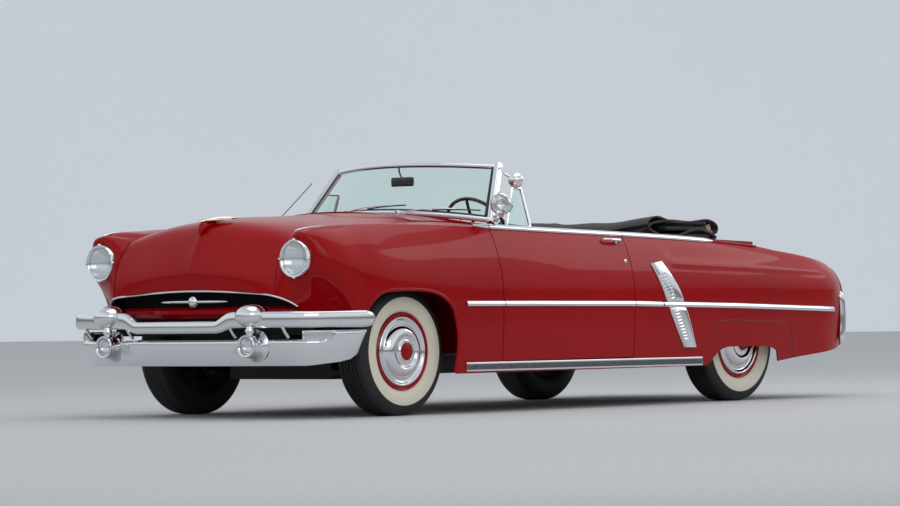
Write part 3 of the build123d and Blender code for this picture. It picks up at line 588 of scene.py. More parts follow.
def side_y(x, z, proud=0.0):
    """The body side's half width at a station and a height."""
    crown_y, crown_z, wide_y, wide_z, sill_y = station(x)[0, 1:]
    end_y, end_z = (crown_y, crown_z) if z > wide_z else (sill_y, SILL_Z)
    dy, dz = wide_y - end_y, end_z - wide_z
    radius = (dy * dy + dz * dz) / (2 * dy)
    drop = min(abs(z - wide_z), radius * 0.98)
    return wide_y - radius + math.sqrt(radius * radius - drop * drop) + proud


def on_side(points, proud=0.0):
    """Points of (x from the front axle, z) laid on the body side."""
    return np.array([(FRONT_AXLE_X + x, side_y(FRONT_AXLE_X + x, z, proud), z) for x, z in points])


# Front fenders: rows round the nose from the hood seam, then the flank's stations
NOSE_T = [0, CROWN_T, 0.36, WIDE_T, 0.82, 1]
NOSE_ROWS = [
    (0.0, [(2.390, 0.606, 0.972), (2.430, 0.606, 0.935), (2.478, 0.606, 0.870), (2.518, 0.606, 0.760),
           (2.528, 0.606, 0.620), (2.528, 0.606, 0.450)]),
    (0.095, [(2.362, 0.606, 0.981), (2.466, 0.690, 1.000), (2.487, 0.700, 0.945), (2.490, 0.700, 0.800),
             (2.455, 0.700, 0.630), (2.420, 0.700, 0.450)]),
    (0.19, [(2.330, 0.606, 0.991), (2.470, 0.764, 1.004), (2.478, 0.800, 0.930), (2.450, 0.800, 0.780),
            (2.360, 0.800, 0.630), (2.330, 0.800, 0.450)]),
    (0.29, [(2.270, 0.606, 1.006), (2.395, 0.775, 1.022), (2.410, 0.868, 0.930), (2.380, 0.893, 0.780),
            (2.280, 0.878, 0.620), (2.240, 0.870, 0.450)]),
]
NOSE_JOIN = 0.47
ARCH_POINTS = [(-0.320, 0.1), (-0.338, 0.42), (-0.322, 0.50), (-0.290, 0.580), (-0.242, 0.626),
               (-0.195, 0.652), (-0.130, 0.672), (-0.060, 0.683), (0, 0.688), (0.110, 0.690), (0.200, 0.688),
               (0.270, 0.682), (0.320, 0.666), (0.360, 0.640), (0.392, 0.606), (0.412, 0.580), (0.520, 0.580),
               (0.600, 0.580), (0.680, 0.584), (0.742, 0.592), (0.742, 0.615), (0.900, 0.615), (0.900, 0.1)]
LAMP_Y = 0.728
LAMP_Z = 0.859
LAMP_HOLE_RADIUS = 0.088


def axle_outline(axle_x, points):
    """Test for points inside an outline of (x from an axle, z)."""
    return inside_outline([(axle_x + x, z) for x, z in points])


def fender_grid():
    ts = np.linspace(0, 1, 100)
    rows = [spline(NOSE_T, points, ts) for _, points in NOSE_ROWS]
    knots = [place for place, _ in NOSE_ROWS]
    stations = [2.19, 2.10, 1.98, 1.80, 1.60, 1.40, 1.20, DOOR_FRONT_X + GAP]
    rows.extend(flank(stations, ts))
    knots.extend([NOSE_JOIN + stations[0] - x for x in stations])
    places = np.linspace(0, knots[-1], 135)
    return spline(knots, rows, places)


def lamp_hole(points):
    near = (points[..., 1] - LAMP_Y) ** 2 + (points[..., 2] - LAMP_Z) ** 2 < LAMP_HOLE_RADIUS ** 2
    return near & (points[..., 0] > 2.3)


def mouth_corner(points):
    """The mouth runs on below the fender's inner edge."""
    foot = np.interp(points[..., 1], [0.600, 0.640, 0.675, 0.705], [0.664, 0.650, 0.630, 0.600])
    return (points[..., 0] > 2.370) & (points[..., 1] < 0.705) & (points[..., 2] < foot)


def front_fenders():
    arch = axle_outline(FRONT_AXLE_X, ARCH_POINTS)
    part = shell(fender_grid(), 0.010, lambda p: arch(p) | lamp_hole(p) | mouth_corner(p))
    new_piece("front_fender_skins", with_mirror(part), "paint", node="front_fenders")


front_fenders()

# Hood: half profiles across the car, from the lip over the nose to the windscreen end
HOOD_NOSE_X = FRONT_AXLE_X + 0.797
# Columns: half width, then x back from the nose and z of lip, nose, brow, shoulder, crown, middle, rear
HOOD_ROWS = [
    (0.0, [(0.014, 0.698), (0.0, 0.783), (0.052, 0.922), (0.140, 1.048), (0.296, 1.088), (0.72, 1.108),
           (1.147, 1.131)]),
    (0.15, [(0.014, 0.696), (0.004, 0.783), (0.058, 0.918), (0.148, 1.040), (0.296, 1.082), (0.72, 1.104),
            (1.147, 1.128)]),
    (0.300, [(0.014, 0.690), (0.010, 0.780), (0.066, 0.914), (0.154, 1.026), (0.296, 1.068), (0.72, 1.092),
             (1.147, 1.120)]),
    (0.450, [(0.017, 0.680), (0.020, 0.778), (0.080, 0.909), (0.156, 1.004), (0.296, 1.044), (0.72, 1.072),
             (1.147, 1.103)]),
    (0.600, [(0.022, 0.667), (0.034, 0.785), (0.091, 0.905), (0.156, 0.972), (0.296, 1.012), (0.72, 1.046),
             (1.147, 1.069)]),
]
HOOD_KNOTS = [0, 0.085, 0.225, 0.375, 0.53, 0.93, 1.36]


def across_halves(widths, lines, knots, rows, columns):
    """Surface through half profiles of (x, z) at some half widths. Gives grids of x, y and z."""
    along = np.linspace(0, knots[-1], columns)
    lines = spline(knots, np.array(lines).transpose(1, 0, 2), along).transpose(1, 0, 2)
    widths = np.array(widths)
    ys = np.linspace(-widths[-1], widths[-1], rows)
    flat = spline(np.concatenate([-widths[:0:-1], widths]), np.concatenate([lines[:0:-1], lines]), ys)
    return flat[..., 0], np.broadcast_to(ys[:, None], flat.shape[:2]), flat[..., 1]


def hood_grid(rows=101, columns=100):
    widths, lines = zip(*HOOD_ROWS)
    back, y, z = across_halves(widths, lines, HOOD_KNOTS, rows, columns)
    fade = np.linspace(0, 1, columns)[None, :]
    crease = np.exp(-np.abs(y) / 0.030) * ease((fade - 0.03) / 0.12) * (1 - ease((fade - 0.30) / 0.45))
    return np.stack([HOOD_NOSE_X - back + 0.007 * crease, y, z + 0.004 * crease], -1)


def hood():
    new_piece("hood_skin", shell(hood_grid()[::-1], 0.012), "paint", body="hood", node="hood")


hood()

# Ornament's spear: x, height and half width. Wing: corners in (x from the front axle, y, z)
SPEAR_ROWS = [(0.60, 1.067, 0.004), (0.575, 1.071, 0.012), (0.53, 1.077, 0.018), (0.46, 1.088, 0.017),
              (0.38, 1.094, 0.013), (0.26, 1.098, 0.004)]
WING = [(0.690, 0.012, 1.076), (0.600, 0.125, 1.083), (0.578, 0.118, 1.088), (0.610, 0.012, 1.086)]
PEAK_LINE = [(0.085, 1.000), (0.100, 1.040), (0.150, 1.058), (0.250, 1.078), (0.380, 1.086)]


def ornament():
    """Plain spear with swept gilt wings, on a painted peak of the hood."""
    line = [(FRONT_AXLE_X + 0.14 + x, 0, z + 0.002) for x, z, _ in SPEAR_ROWS]
    widths = along_run(26, np.linspace(0, 1, len(SPEAR_ROWS)), [width for _, _, width in SPEAR_ROWS])
    new_piece("ornament_spear", rod(line, 26, widths, 16, 0.62), "chrome", body="hood",
              node="hood_ornament")
    wings = [slab([(FRONT_AXLE_X + x, side * y, z) for x, y, z in WING], (0, 0, 0.005)) for side in (-1, 1)]
    gilt = new_piece("ornament_wings", join(wings), "chrome", body="hood", look=GOLD)
    bevel(gilt, 0.0015)
    sizes = along_run(24, [0, 0.15, 0.45, 1], [0.006, 0.030, 0.030, 0.010])
    peak = rod([(HOOD_NOSE_X - x, 0, z) for x, z in PEAK_LINE], 24, sizes, 20, 0.8, (1, 0, 0.3))
    new_piece("hood_peak", peak, "paint", SOFT_ANGLE, body="hood")


ornament()

# Cowl between the hood and the windscreen. Columns: x, half width, centre height, edge height
COWL_ROWS = [(HOOD_REAR_X - GAP, 0.600, 1.131, 1.069), (FRONT_AXLE_X - 0.55, 0.600, 1.129, 1.067),
             (FRONT_AXLE_X - 0.719, 0.600, 1.122, 1.064)]
COWL_BACK = [(FRONT_AXLE_X - 0.719, 0.792, 1.122, 1.040), (FRONT_AXLE_X - 0.960, 0.792, 1.080, 1.040)]


def cowl_grid(rows, count):
    table = np.array(rows)
    xs = np.linspace(table[0, 0], table[-1, 0], 24)
    out = []
    for x in xs:
        half, centre, edge = [np.interp(-x, -table[:, 0], table[:, i]) for i in (1, 2, 3)]
        ys = np.linspace(-half, half, count)
        rise = centre - edge
        radius = (half * half + rise * rise) / (2 * rise)
        out.append([(x, y, centre - radius + math.sqrt(radius * radius - y * y)) for y in ys])
    return np.array(out)


def cowl_skin():
    for name, rows in (("cowl_skin", COWL_ROWS), ("dash_top_skin", COWL_BACK)):
        lift = cowl_grid(rows, 60) + np.array((0, 0, 0.0008))
        new_piece(name, shell(lift[::-1], 0.006), "paint")


cowl_skin()

# Doors: a closed slab whose section follows the flank outside and the trim panel inside
TOP_T = 0.105


def wall_y(z):
    return 0.846 - 0.046 * (z - SILL_Z) / 0.978


def foot_t(z):
    """Share down the flank at which the door's height is reached."""
    ts = np.linspace(WIDE_T, 1, 200)
    heights = flank([0.4], ts)[0, :, 2]
    return float(np.interp(-z, -heights, ts))


def door(side, name):
    """Closed loops from the belt down the outside, and up again inside."""
    xs = np.linspace(DOOR_FRONT_X, DOOR_REAR_X, 90)
    outer = flank(xs, np.linspace(TOP_T, foot_t(DOOR_BOTTOM_Z), 80))
    outer[:, -1, 2] = DOOR_BOTTOM_Z
    loops = []
    for row, x in zip(outer, xs):
        inner_x = max(x, DOOR_REAR_X + 0.030)
        inside = [(inner_x if z > 0.35 else x, wall_y(z), z)
                  for z in np.linspace(DOOR_BOTTOM_Z, row[0, 2], 12)]
        loops.append(np.concatenate([row, np.array(inside)]))
    loops = np.array(loops)
    loops[..., 1] *= side
    obj = new_piece(f"door_{name}_panel", closed_part(loops), "paint", body=f"door_{name}",
                    node=f"door_{name}")
    bevel(obj, 0.003)


for door_side, door_name in SIDES:
    door(door_side, door_name)

# Rear quarters: outer skin with the wheel opening, and the cabin's inner wall
SKIRT_OPENING = [(0.600, 0.1), (0.516, 0.209), (0.478, 0.218), (0.440, 0.240), (0.400, 0.276), (0.365, 0.302),
                 (0.320, 0.320), (0.268, 0.329), (0.10, 0.330), (-0.142, 0.325), (-0.200, 0.317),
                 (-0.251, 0.301), (-0.270, 0.244), (-0.260, 0.1)]
TAIL_UNDERSIDE = [(-0.240, 0.1), (-0.252, 0.232), (-0.468, 0.254), (-0.800, 0.282), (-1.005, 0.304),
                  (-1.200, 0.330), (-1.400, 0.340), (-1.400, 0.1)]


def quarter_grid():
    xs = np.concatenate([np.linspace(DOOR_REAR_X - GAP, REAR_AXLE_X - 0.30, 100),
                         np.linspace(REAR_AXLE_X - 0.32, TAIL_X, 60)])
    ts = np.linspace(0, 1, 105)
    grid = flank(xs, ts)
    behind = ease((-(grid[..., 0]) - 0.50) / 0.12)
    level = 0.834 - 0.052 * np.clip((-0.55 - grid[..., 0]) / 1.6, 0, 1)
    ridge = np.exp(-((grid[..., 2] - level) / 0.020) ** 2)
    hollow = np.exp(-((grid[..., 2] - level - 0.055) / 0.040) ** 2)
    side = grid[..., 1] > 0.78
    fade = 1 - ease((-2.05 - grid[..., 0]) / 0.35)
    grid[..., 1] += np.where(side, behind * fade * (0.005 * ridge - 0.006 * hollow), 0)
    return grid


def quarters():
    """Outer skins behind the doors, with the cabin's inner walls."""
    opening = axle_outline(REAR_AXLE_X, SKIRT_OPENING)
    under = axle_outline(REAR_AXLE_X, TAIL_UNDERSIDE)
    well = lambda p: (p[..., 0] > WELL_REAR_X) & (p[..., 1] < 0.792) & (p[..., 2] > 0.9)
    part = shell(quarter_grid(), 0.010, lambda p: opening(p) | under(p) | well(p))
    new_piece("rear_quarter_skins", with_mirror(part), "paint", node="rear_quarters")
    xs = np.linspace(DOOR_REAR_X - GAP + 0.030, WELL_REAR_X, 30)
    wall = np.array([[(x, wall_y(z), z) for z in np.linspace(0.335, 0.962 + 0.045 * (x + 1.555) / 1.4, 14)]
                     for x in xs])
    new_piece("cabin_side_panels", with_mirror(outward(shell(wall, 0.006))), "leather")


quarters()

# Trim on the body side: spears, guards, sill strips and the belt's rail
SPEAR_LINE = [(-0.393, 0.608), (-1.0, 0.604), (-1.919, 0.595), (-2.9, 0.575), (-3.972, 0.545)]
DOOR_ENDS = (DOOR_FRONT_X - FRONT_AXLE_X, DOOR_REAR_X - FRONT_AXLE_X)
HALF_ROUND = [(0.004, -0.017), (-0.005, -0.0165), (-0.011, -0.013), (-0.013, -0.008), (-0.0115, 0.001),
              (-0.0075, 0.010), (-0.002, 0.016), (0.004, 0.017)]


def band(line, start, end, profile, proud=0.0, count=60):
    """Moulding on the body side along a line of (x from the front axle, z)."""
    xs = np.linspace(start, end, count)
    table = np.array(line)
    path = on_side(zip(xs, np.interp(-xs, -table[:, 0], table[:, 1])), proud)
    return sweep(path[::-1], profile)


def spears():
    front, rear = DOOR_ENDS
    gap = GAP / 2
    ends = ((-0.393, front + gap), (rear - GAP, -2.19), (-2.20, -4.000))
    body = [band(SPEAR_LINE, start, end, HALF_ROUND) for start, end in ends]
    new_piece("side_spears", with_mirror(join(body)), "chrome", SOFT_ANGLE)
    on_door = band(SPEAR_LINE, front - gap, rear, HALF_ROUND)
    for side, name in SIDES:
        new_piece(f"door_spear_{name}", on_hand(on_door, side), "chrome", SOFT_ANGLE, body=f"door_{name}")


spears()

BELT_PROFILE = [(0.040, -0.014), (-0.006, -0.014), (-0.010, -0.008), (-0.005, 0.005), (0.006, 0.014),
                (0.030, 0.017), (0.040, 0.012)]
BELT_REAR_X = REAR_AXLE_X + 0.285


def belt(start, end, count, scale=1.0):
    """Rail along the crown of the body side."""
    xs = np.linspace(start, end, count)
    rows = station(xs)
    return sweep(np.stack([xs, rows[:, 1], rows[:, 2] + 0.008], 1), BELT_PROFILE, scale=scale)


def belts():
    front = belt(BELT_REAR_X, DOOR_REAR_X - GAP, 50, np.interp(np.arange(50), [0, 4], [0.35, 1]))
    welt = belt(WELL_REAR_X, BELT_REAR_X + 0.01, 24, 0.34)
    new_piece("well_welts", with_mirror(welt), "paint", SOFT_ANGLE)
    ahead = belt(DOOR_FRONT_X + GAP, FRONT_AXLE_X - 0.60, 16, np.linspace(1, 0.3, 16))
    new_piece("belt_rails", with_mirror(join([front, ahead])), "chrome", SOFT_ANGLE)
    on_door = belt(DOOR_REAR_X, DOOR_FRONT_X, 50)
    for side, name in SIDES:
        new_piece(f"door_belt_{name}", on_hand(on_door, side), "chrome", SOFT_ANGLE, body=f"door_{name}",
                  node=f"door_trim_{name}")


belts()

# Slanted guard ahead of the rear wheel: edges in (x from the front axle, z)
GUARD_FRONT_EDGE = [(-2.115, 0.830), (-2.165, 0.740), (-2.231, 0.615), (-2.330, 0.450), (-2.412, 0.334)]
GUARD_REAR_EDGE = [(-2.225, 0.842), (-2.310, 0.740), (-2.392, 0.615), (-2.460, 0.480), (-2.527, 0.332)]


def guards():
    """Ribbed guards, with a dip under each spear."""
    count = 110
    ahead, behind = smooth(GUARD_FRONT_EDGE, count), smooth(GUARD_REAR_EDGE, count)
    grid = []
    for i, (a, b) in enumerate(zip(ahead, behind)):
        row = []
        for share in np.linspace(0, 1, 20):
            x, z = a + (b - a) * share
            spear = np.interp(-x, [1.919, 2.9], [0.595, 0.575])
            crown = 0.014 * math.sqrt(max(0.0, 1 - (2 * share - 1) ** 4))
            crown *= 1 - 0.92 * math.exp(-((z - spear) / 0.024) ** 4)
            rib = 0.0035 if i % 4 < 2 and 0.10 < share < 0.46 and 14 < i < 100 else 0.0
            row.append((FRONT_AXLE_X + x, side_y(FRONT_AXLE_X + x, z) + 0.002 + crown - rib, z))
        grid.append(row)
    part = outward(shell(np.array(grid), 0.002))
    new_piece("rear_guards", with_mirror(part), "chrome", 28)


guards()

SKIRT_LINE = [(-2.668, 0.300), (-2.675, 0.360), (-2.694, 0.435), (-2.724, 0.468), (-2.775, 0.482),
              (-3.100, 0.480), (-3.440, 0.471), (-3.490, 0.460), (-3.518, 0.430), (-3.532, 0.380),
              (-3.544, 0.300), (-3.548, 0.256)]


def skirt_gaps():
    """Shut line round the wheel's skirt."""
    line = on_side(smooth(SKIRT_LINE, 120), -0.0008)
    seam = sweep(line, disc_profile(0.0024, 8), (0, 1, 0))
    new_piece("skirt_gaps", with_mirror(seam), "paint", SOFT_ANGLE, look=SEAL)


skirt_gaps()

SILL_LINE = [(-0.393, 0.258), (-2.560, 0.250)]


def sill_strips():
    flat = box_profile(0.007, -0.026, 0.025, 0.003)
    strip = band(SILL_LINE, -0.400, -2.595, flat, 0.002)
    new_piece("sill_strips", with_mirror(strip), "chrome", node="side_trim")
    insert = band(SILL_LINE, -0.405, -2.590, box_profile(0.003, -0.0165, 0.0155, 0.001), 0.0085)
    new_piece("sill_strip_inserts", with_mirror(insert), "chrome", look=GREY_INSERT)


sill_strips()


def arch_lips():
    """Raised rounded lip round the front wheel arch."""
    line = smooth([(x, max(z, 0.235)) for x, z in ARCH_POINTS[:16]], 90)
    part = sweep(on_side(line, -0.006), disc_profile(0.010, 12), (0, 1, 0))
    new_piece("arch_lips", with_mirror(part), "paint", SOFT_ANGLE)


arch_lips()

# Wheels: lathe profiles of (radius, outward distance from the wheel's middle)
TYRE_PROFILE = [(0.212, -0.078), (0.226, -0.094), (0.262, -0.103), (0.296, -0.101), (0.326, -0.093),
                (0.343, -0.083), (0.350, -0.074), (0.352, -0.064)]
GROOVES = [-0.046, -0.023, 0.0, 0.023, 0.046]


def tyre_profile():
    rows = list(TYRE_PROFILE)
    for groove in GROOVES:
        rows += [(0.352, groove - 0.0035), (0.345, groove - 0.0025), (0.345, groove + 0.0025),
                 (0.352, groove + 0.0035)]
    rows += [(r, -a) for r, a in reversed(TYRE_PROFILE)]
    return rows


COVER_PROFILE = [(0.206, 0.078), (0.2125, 0.083), (0.2135, 0.088), (0.210, 0.091), (0.203, 0.088),
                 (0.196, 0.082), (0.190, 0.080)]
CHROME_PROFILE = [(0.193, 0.080), (0.191, 0.089), (0.186, 0.094), (0.180, 0.093), (0.174, 0.086),
                  (0.166, 0.080), (0.158, 0.0785), (0.151, 0.080), (0.147, 0.086), (0.142, 0.096),
                  (0.132, 0.107), (0.118, 0.116), (0.104, 0.120), (0.092, 0.119), (0.0875, 0.114),
                  (0.084, 0.108), (0.078, 0.106), (0.060, 0.108), (0.054, 0.112), (0.0505, 0.118),
                  (0.049, 0.118)]
HUB_PROFILE = [(0.0495, 0.114), (0.044, 0.119), (0.030, 0.123), (0.012, 0.125), (0.0, 0.1255)]
BACK_PROFILE = [(0.030, -0.060), (0.070, -0.060), (0.075, 0.0), (0.150, 0.010), (0.165, -0.060),
                (0.206, -0.078), (0.2095, -0.086), (0.2115, -0.080), (0.207, -0.070), (0.190, -0.050),
                (0.190, 0.078), (0.030, 0.060), (0.030, -0.060)]
WHITE_BAND = (0.215, 0.290)


def wheel(name, axle_x, side):
    """Tyre with its white band, painted rim, chrome cover, hub disc and the wheel's back."""
    body = f"wheel_{name}"

    def turned(piece, profile, steps, slot, angle=SOFT_ANGLE, **more):
        part = lathe(profile, (axle_x, side * WHEEL_Y, TYRE_RADIUS), (0, side, 0), steps)
        return new_piece(piece, part, slot, angle, body=body, **more)

    tyre = turned(f"tyre_{name}_rubber", tyre_profile(), 96, "tyre", 40, node=f"tyre_{name}")
    tyre.data.materials.append(WHITEWALL)
    for face in tyre.data.polygons:
        middle = face.center
        radius = math.hypot(middle.x - axle_x, middle.z - TYRE_RADIUS)
        if side * middle.y > WHEEL_Y + 0.05 and WHITE_BAND[0] < radius < WHITE_BAND[1]:
            face.material_index = 1
    turned(f"rim_{name}", COVER_PROFILE, 80, "wheel_paint", node=f"wheel_{name}")
    turned(f"wheel_cover_{name}", CHROME_PROFILE, 80, "chrome")
    turned(f"hub_disc_{name}", HUB_PROFILE, 48, "wheel_paint")
    turned(f"wheel_back_{name}", BACK_PROFILE, 60, "wheel_paint", 40, look=FRAME_BLACK)


for wheel_side, side_name in SIDES:
    wheel(f"front_{side_name}", FRONT_AXLE_X, wheel_side)
for wheel_side, side_name in SIDES:
    wheel(f"rear_{side_name}", REAR_AXLE_X, wheel_side)

# Front bumper: plan line (x back from the front, half width), then heights along it
BUMPER_X = 2.689
BUMPER_PLAN = [(0, 0), (0.012, 0.300), (0.030, 0.500), (0.058, 0.690), (0.100, 0.820), (0.185, 0.897),
               (0.320, 0.934), (0.540, 0.952)]


def plan_path(plan, front_x, z, count):
    return smooth(both_halves([(front_x - x, y, z) for x, y in plan]), count)


TIP_STEPS = 5


def rounded_bar(path, depth, height, squareness):
    """Bar of a rounded-box section along a path, drawn in at both ends."""
    tip = np.ones(len(path))
    for i in range(TIP_STEPS):
        tip[i] = tip[-1 - i] = math.sqrt(1 - ((TIP_STEPS - i) / (TIP_STEPS + 0.3)) ** 2)
    base = []
    for angle in np.linspace(0, 2 * math.pi, 28, endpoint=False):
        c, s = math.cos(angle), math.sin(angle)
        base.append((math.copysign(abs(c) ** 0.75, c), math.copysign(abs(s) ** squareness, s)))
    return sweep(path, np.array(base)[None] * np.stack([depth * tip, height * tip], 1)[:, None, :])


def bumper_upper():
    path = plan_path(BUMPER_PLAN, BUMPER_X - 0.028, 0.524, 150)
    dip = 1 - ease((np.abs(path[:, 1]) - 0.290) / 0.120)
    end = ease((2.45 - path[:, 0]) / 0.25)
    path[:, 2] += 0.012 - 0.038 * dip
    return rounded_bar(path, 0.030 + 0.006 * end, 0.045 - 0.011 * dip + 0.003 * end, 0.62)


# Columns: x back from the bar's face, height of the valance's foot
VALANCE_FOOT = [(0.0, 0.290), (0.110, 0.290), (0.200, 0.300), (0.300, 0.308), (0.380, 0.322), (0.430, 0.350),
                (0.455, 0.395), (0.470, 0.452)]


def bumper_lower():
    """Valance that leans back to its foot. Its ends turn up to the bar behind the parking lamps."""
    plan = [*BUMPER_PLAN[:-1], (0.474, 0.947)]
    path = plan_path([(x * 0.99 + 0.002, y * 0.995) for x, y in plan], BUMPER_X - 0.046, 0, 180)
    table = np.array(VALANCE_FOOT)
    low = np.interp(BUMPER_X - 0.046 - path[:, 0], table[:, 0], table[:, 1])
    top = 0.424 + 0.050 * ease((np.abs(path[:, 1]) - 0.894) / 0.016)
    side, _ = frames_along(path, (0, 0, 1))
    grid = []
    for i, point in enumerate(path):
        row = []
        for share in np.linspace(0, 1, 24):
            out = -0.034 * (1 - share) ** 1.7 - 0.010 * max(0.0, (share - 0.90) / 0.10) ** 2
            row.append(point + side[i] * out + np.array((0, 0, low[i] + (top[i] - low[i]) * share)))
        grid.append(row)
    return outward(shell(np.array(grid), 0.004))


# Bullets on the bar, the rings round the lower lamps and the necks between them
BULLET_Y = 0.530
BULLET_PROFILE = [(0.0, 0.0595), (0.018, 0.0575), (0.034, 0.050), (0.048, 0.036), (0.058, 0.016),
                  (0.063, -0.010), (0.0645, -0.045), (0.061, -0.078), (0.048, -0.104), (0.028, -0.120),
                  (0.0, -0.125)]
POD_Y = 0.532
POD_PROFILE = [(0.056, 0.004), (0.062, -0.008), (0.064, -0.030), (0.068, -0.052), (0.078, -0.074),
               (0.088, -0.082)]
NECK_PROFILE = [(0.020, -0.030), (0.018, -0.010), (0.026, 0.002), (0.027, 0.010), (0.019, 0.020),
                (0.021, 0.040)]


def bumper_bullets():
    parts = []
    for side in (-1, 1):
        dome = lathe(BULLET_PROFILE, (0, 0, 0), AHEAD, 56)
        parts.append(stretched(dome, (BUMPER_X - 0.030, side * BULLET_Y, 0.557), (1, 1.33, 0.98)))
        parts.append(lathe(POD_PROFILE, (2.676, side * POD_Y, 0.395), AHEAD, 56))
        parts.append(lathe(NECK_PROFILE, (2.648, side * POD_Y, 0.470), (0, 0, 1), 40))
    return join(parts)


def plate_bracket(x, side, low, high, depth):
    """Square iron from a bumper to the frame."""
    corners = ((0.385, low), (0.435, low), (0.435, high), (0.385, high))
    return slab([(x, side * y, z) for y, z in corners], (depth, 0, 0))


STRUT_LINE = ((0.036, 0.502), (0.060, 0.470), (0.088, 0.440))


def bumper_struts():
    """Tubes behind the bar and the irons to the frame."""
    parts = []
    for y, bow in ((0.385, 0.0), (0.735, 0.035)):
        for side in (-1, 1):
            parts.append(tube([(BUMPER_X - x - bow, side * y, z) for x, z in STRUT_LINE], 0.009))
    return join(parts + [plate_bracket(2.505, side, 0.35, 0.415, 0.115) for side in (-1, 1)])


def parking_strips(back, plan, half_height):
    """Upright strip that wraps each corner of the front bumper."""
    section = box_profile(0.012, -half_height, half_height, 0.005)
    paths = [[(BUMPER_X - x - back, side * y, 0.451) for x, y in plan] for side in (-1, 1)]
    return join([sweep(smooth(path, 12), section) for path in paths])


def front_bumper():
    new_piece("front_bumper_bar", bumper_upper(), "chrome", SOFT_ANGLE, node="front_bumper")
    new_piece("front_bumper_valance", bumper_lower(), "chrome", 40)
    new_piece("front_bumper_bullets", bumper_bullets(), "chrome", SOFT_ANGLE)
    new_piece("front_bumper_struts", bumper_struts(), "chrome", 40)
    lenses = parking_strips(0.060, ((0.098, 0.818), (0.150, 0.872), (0.218, 0.906)), 0.020)
    frames = parking_strips(0.066, ((0.090, 0.806), (0.150, 0.872), (0.228, 0.910)), 0.026)
    new_piece("parking_lenses", lenses, "glass", look=PARK_LENS)
    new_piece("parking_frames", frames, "chrome")


front_bumper()


def lamp_set(name, y, z, face_x, radius, slot_node):
    """Round lamp: chrome bezel, clear lens and a bowl behind it, both sides."""
    bezel_rows = [(radius - 0.017, 0.004), (radius - 0.012, 0.014), (radius - 0.004, 0.016), (radius, 0.010),
                  (radius + 0.001, -0.004), (radius - 0.004, -0.030), (radius - 0.012, -0.050)]
    lens_rows = [(0.0, 0.018), (radius * 0.3, 0.0165), (radius * 0.6, 0.012), (radius - 0.018, 0.004),
                 (radius - 0.018, 0.001), (radius * 0.6, 0.008), (radius * 0.3, 0.0125), (0.0, 0.014)]
    bowl_rows = [(0.0, -radius * 0.55), (radius * 0.35, -radius * 0.48), (radius * 0.65, -radius * 0.30),
                 (radius - 0.016, 0.0)]

    def pair(rows, steps):
        return join([lathe(rows, (face_x, side * y, z), AHEAD, steps) for side in (-1, 1)])

    new_piece(f"{name}_bezels", pair(bezel_rows, 64), "chrome", SOFT_ANGLE, node=slot_node)
    new_piece(f"{name}_lenses", pair(lens_rows, 64), "glass", SOFT_ANGLE, look=LENS)
    new_piece(f"{name}_bowls", pair(bowl_rows, 48), "chrome", SOFT_ANGLE, look=REFLECTOR)


lamp_set("headlamp", LAMP_Y, LAMP_Z, 2.498, 0.1025, "headlamps")
lamp_set("fog_lamp", POD_Y, 0.395, 2.672, 0.062, "fog_lamps")


MOUTH_LIP = [(2.528, 0.0, 0.694), (2.527, 0.30, 0.685), (2.519, 0.50, 0.673), (2.525, 0.60, 0.660),
             (2.505, 0.640, 0.646), (2.478, 0.675, 0.627), (2.452, 0.700, 0.604)]
CROSS_BAR = [(2.528, 0, 0.636), (2.525, 0.10, 0.636), (2.515, 0.25, 0.636)]
BOSS_PROFILE = [(0.0, 0.014), (0.018, 0.011), (0.030, 0.002), (0.034, -0.012)]
# Columns: x back from the mouth's front, z
LOWER_MOUTH = [(0.150, 0.540), (0.060, 0.545), (0.012, 0.560), (0.0, 0.580), (0.010, 0.596), (0.050, 0.602)]


def grille():
    """Mouth moulding under the hood's lip, a plain cross bar and a near-black sheet behind, painted shade for
    the dark space in the mouth.
    """
    moulding = rod(both_halves(MOUTH_LIP), 90, 0.006, 8)
    bar_path = smooth(both_halves(CROSS_BAR), 30)
    sizes = 0.011 * np.sqrt(np.clip(1 - (np.abs(bar_path[:, 1]) / 0.252) ** 6, 0.02, 1))
    bar = sweep(bar_path, disc_profile(1, 12, 0.8), scale=sizes)
    boss = lathe(BOSS_PROFILE, (2.532, 0, 0.636), AHEAD, 40)
    new_piece("mouth_moulding", join([moulding, bar, boss]), "chrome", SOFT_ANGLE)
    lower = []
    for y in np.linspace(-0.76, 0.76, 60):
        front = 2.500 - 0.10 * (abs(y) / 0.70) ** 2.2
        lower.append(smooth([(front - back, y, z) for back, z in LOWER_MOUTH], 14))
    new_piece("lower_mouth_panel", outward(shell(np.array(lower), 0.004)), "paint")
    # Near-black sheet behind the grille: painted shade standing in for the shaded space inside the mouth
    corners = [(2.36, y, z) for y, z in ((-0.74, 0.45), (0.74, 0.45), (0.74, 0.88), (-0.74, 0.88))]
    new_piece("mouth_shade_sheet", slab(corners, (0.01, 0, 0)), "frame_paint", look=PAINTED_SHADE, node="grille")


grille()

# Windscreen: the same base and header arcs as the CAD slab
SCREEN_BASE = (Vector((FRONT_AXLE_X - 0.925, 0.738, 1.070)), Vector((FRONT_AXLE_X - 0.715, 0, 1.130)))
SCREEN_HEAD = (Vector((FRONT_AXLE_X - 1.140, 0.618, 1.398)), Vector((FRONT_AXLE_X - 0.960, 0, 1.424)))


def screen_point(across, share):
    """Point on the windscreen: across from -1 to 1, share of its height."""
    side = SCREEN_BASE[0].lerp(SCREEN_HEAD[0], share)
    middle = SCREEN_BASE[1].lerp(SCREEN_HEAD[1], share)
    pull = abs(across) ** 2.0
    point = middle.lerp(side, pull)
    point.y = side.y * across
    return point


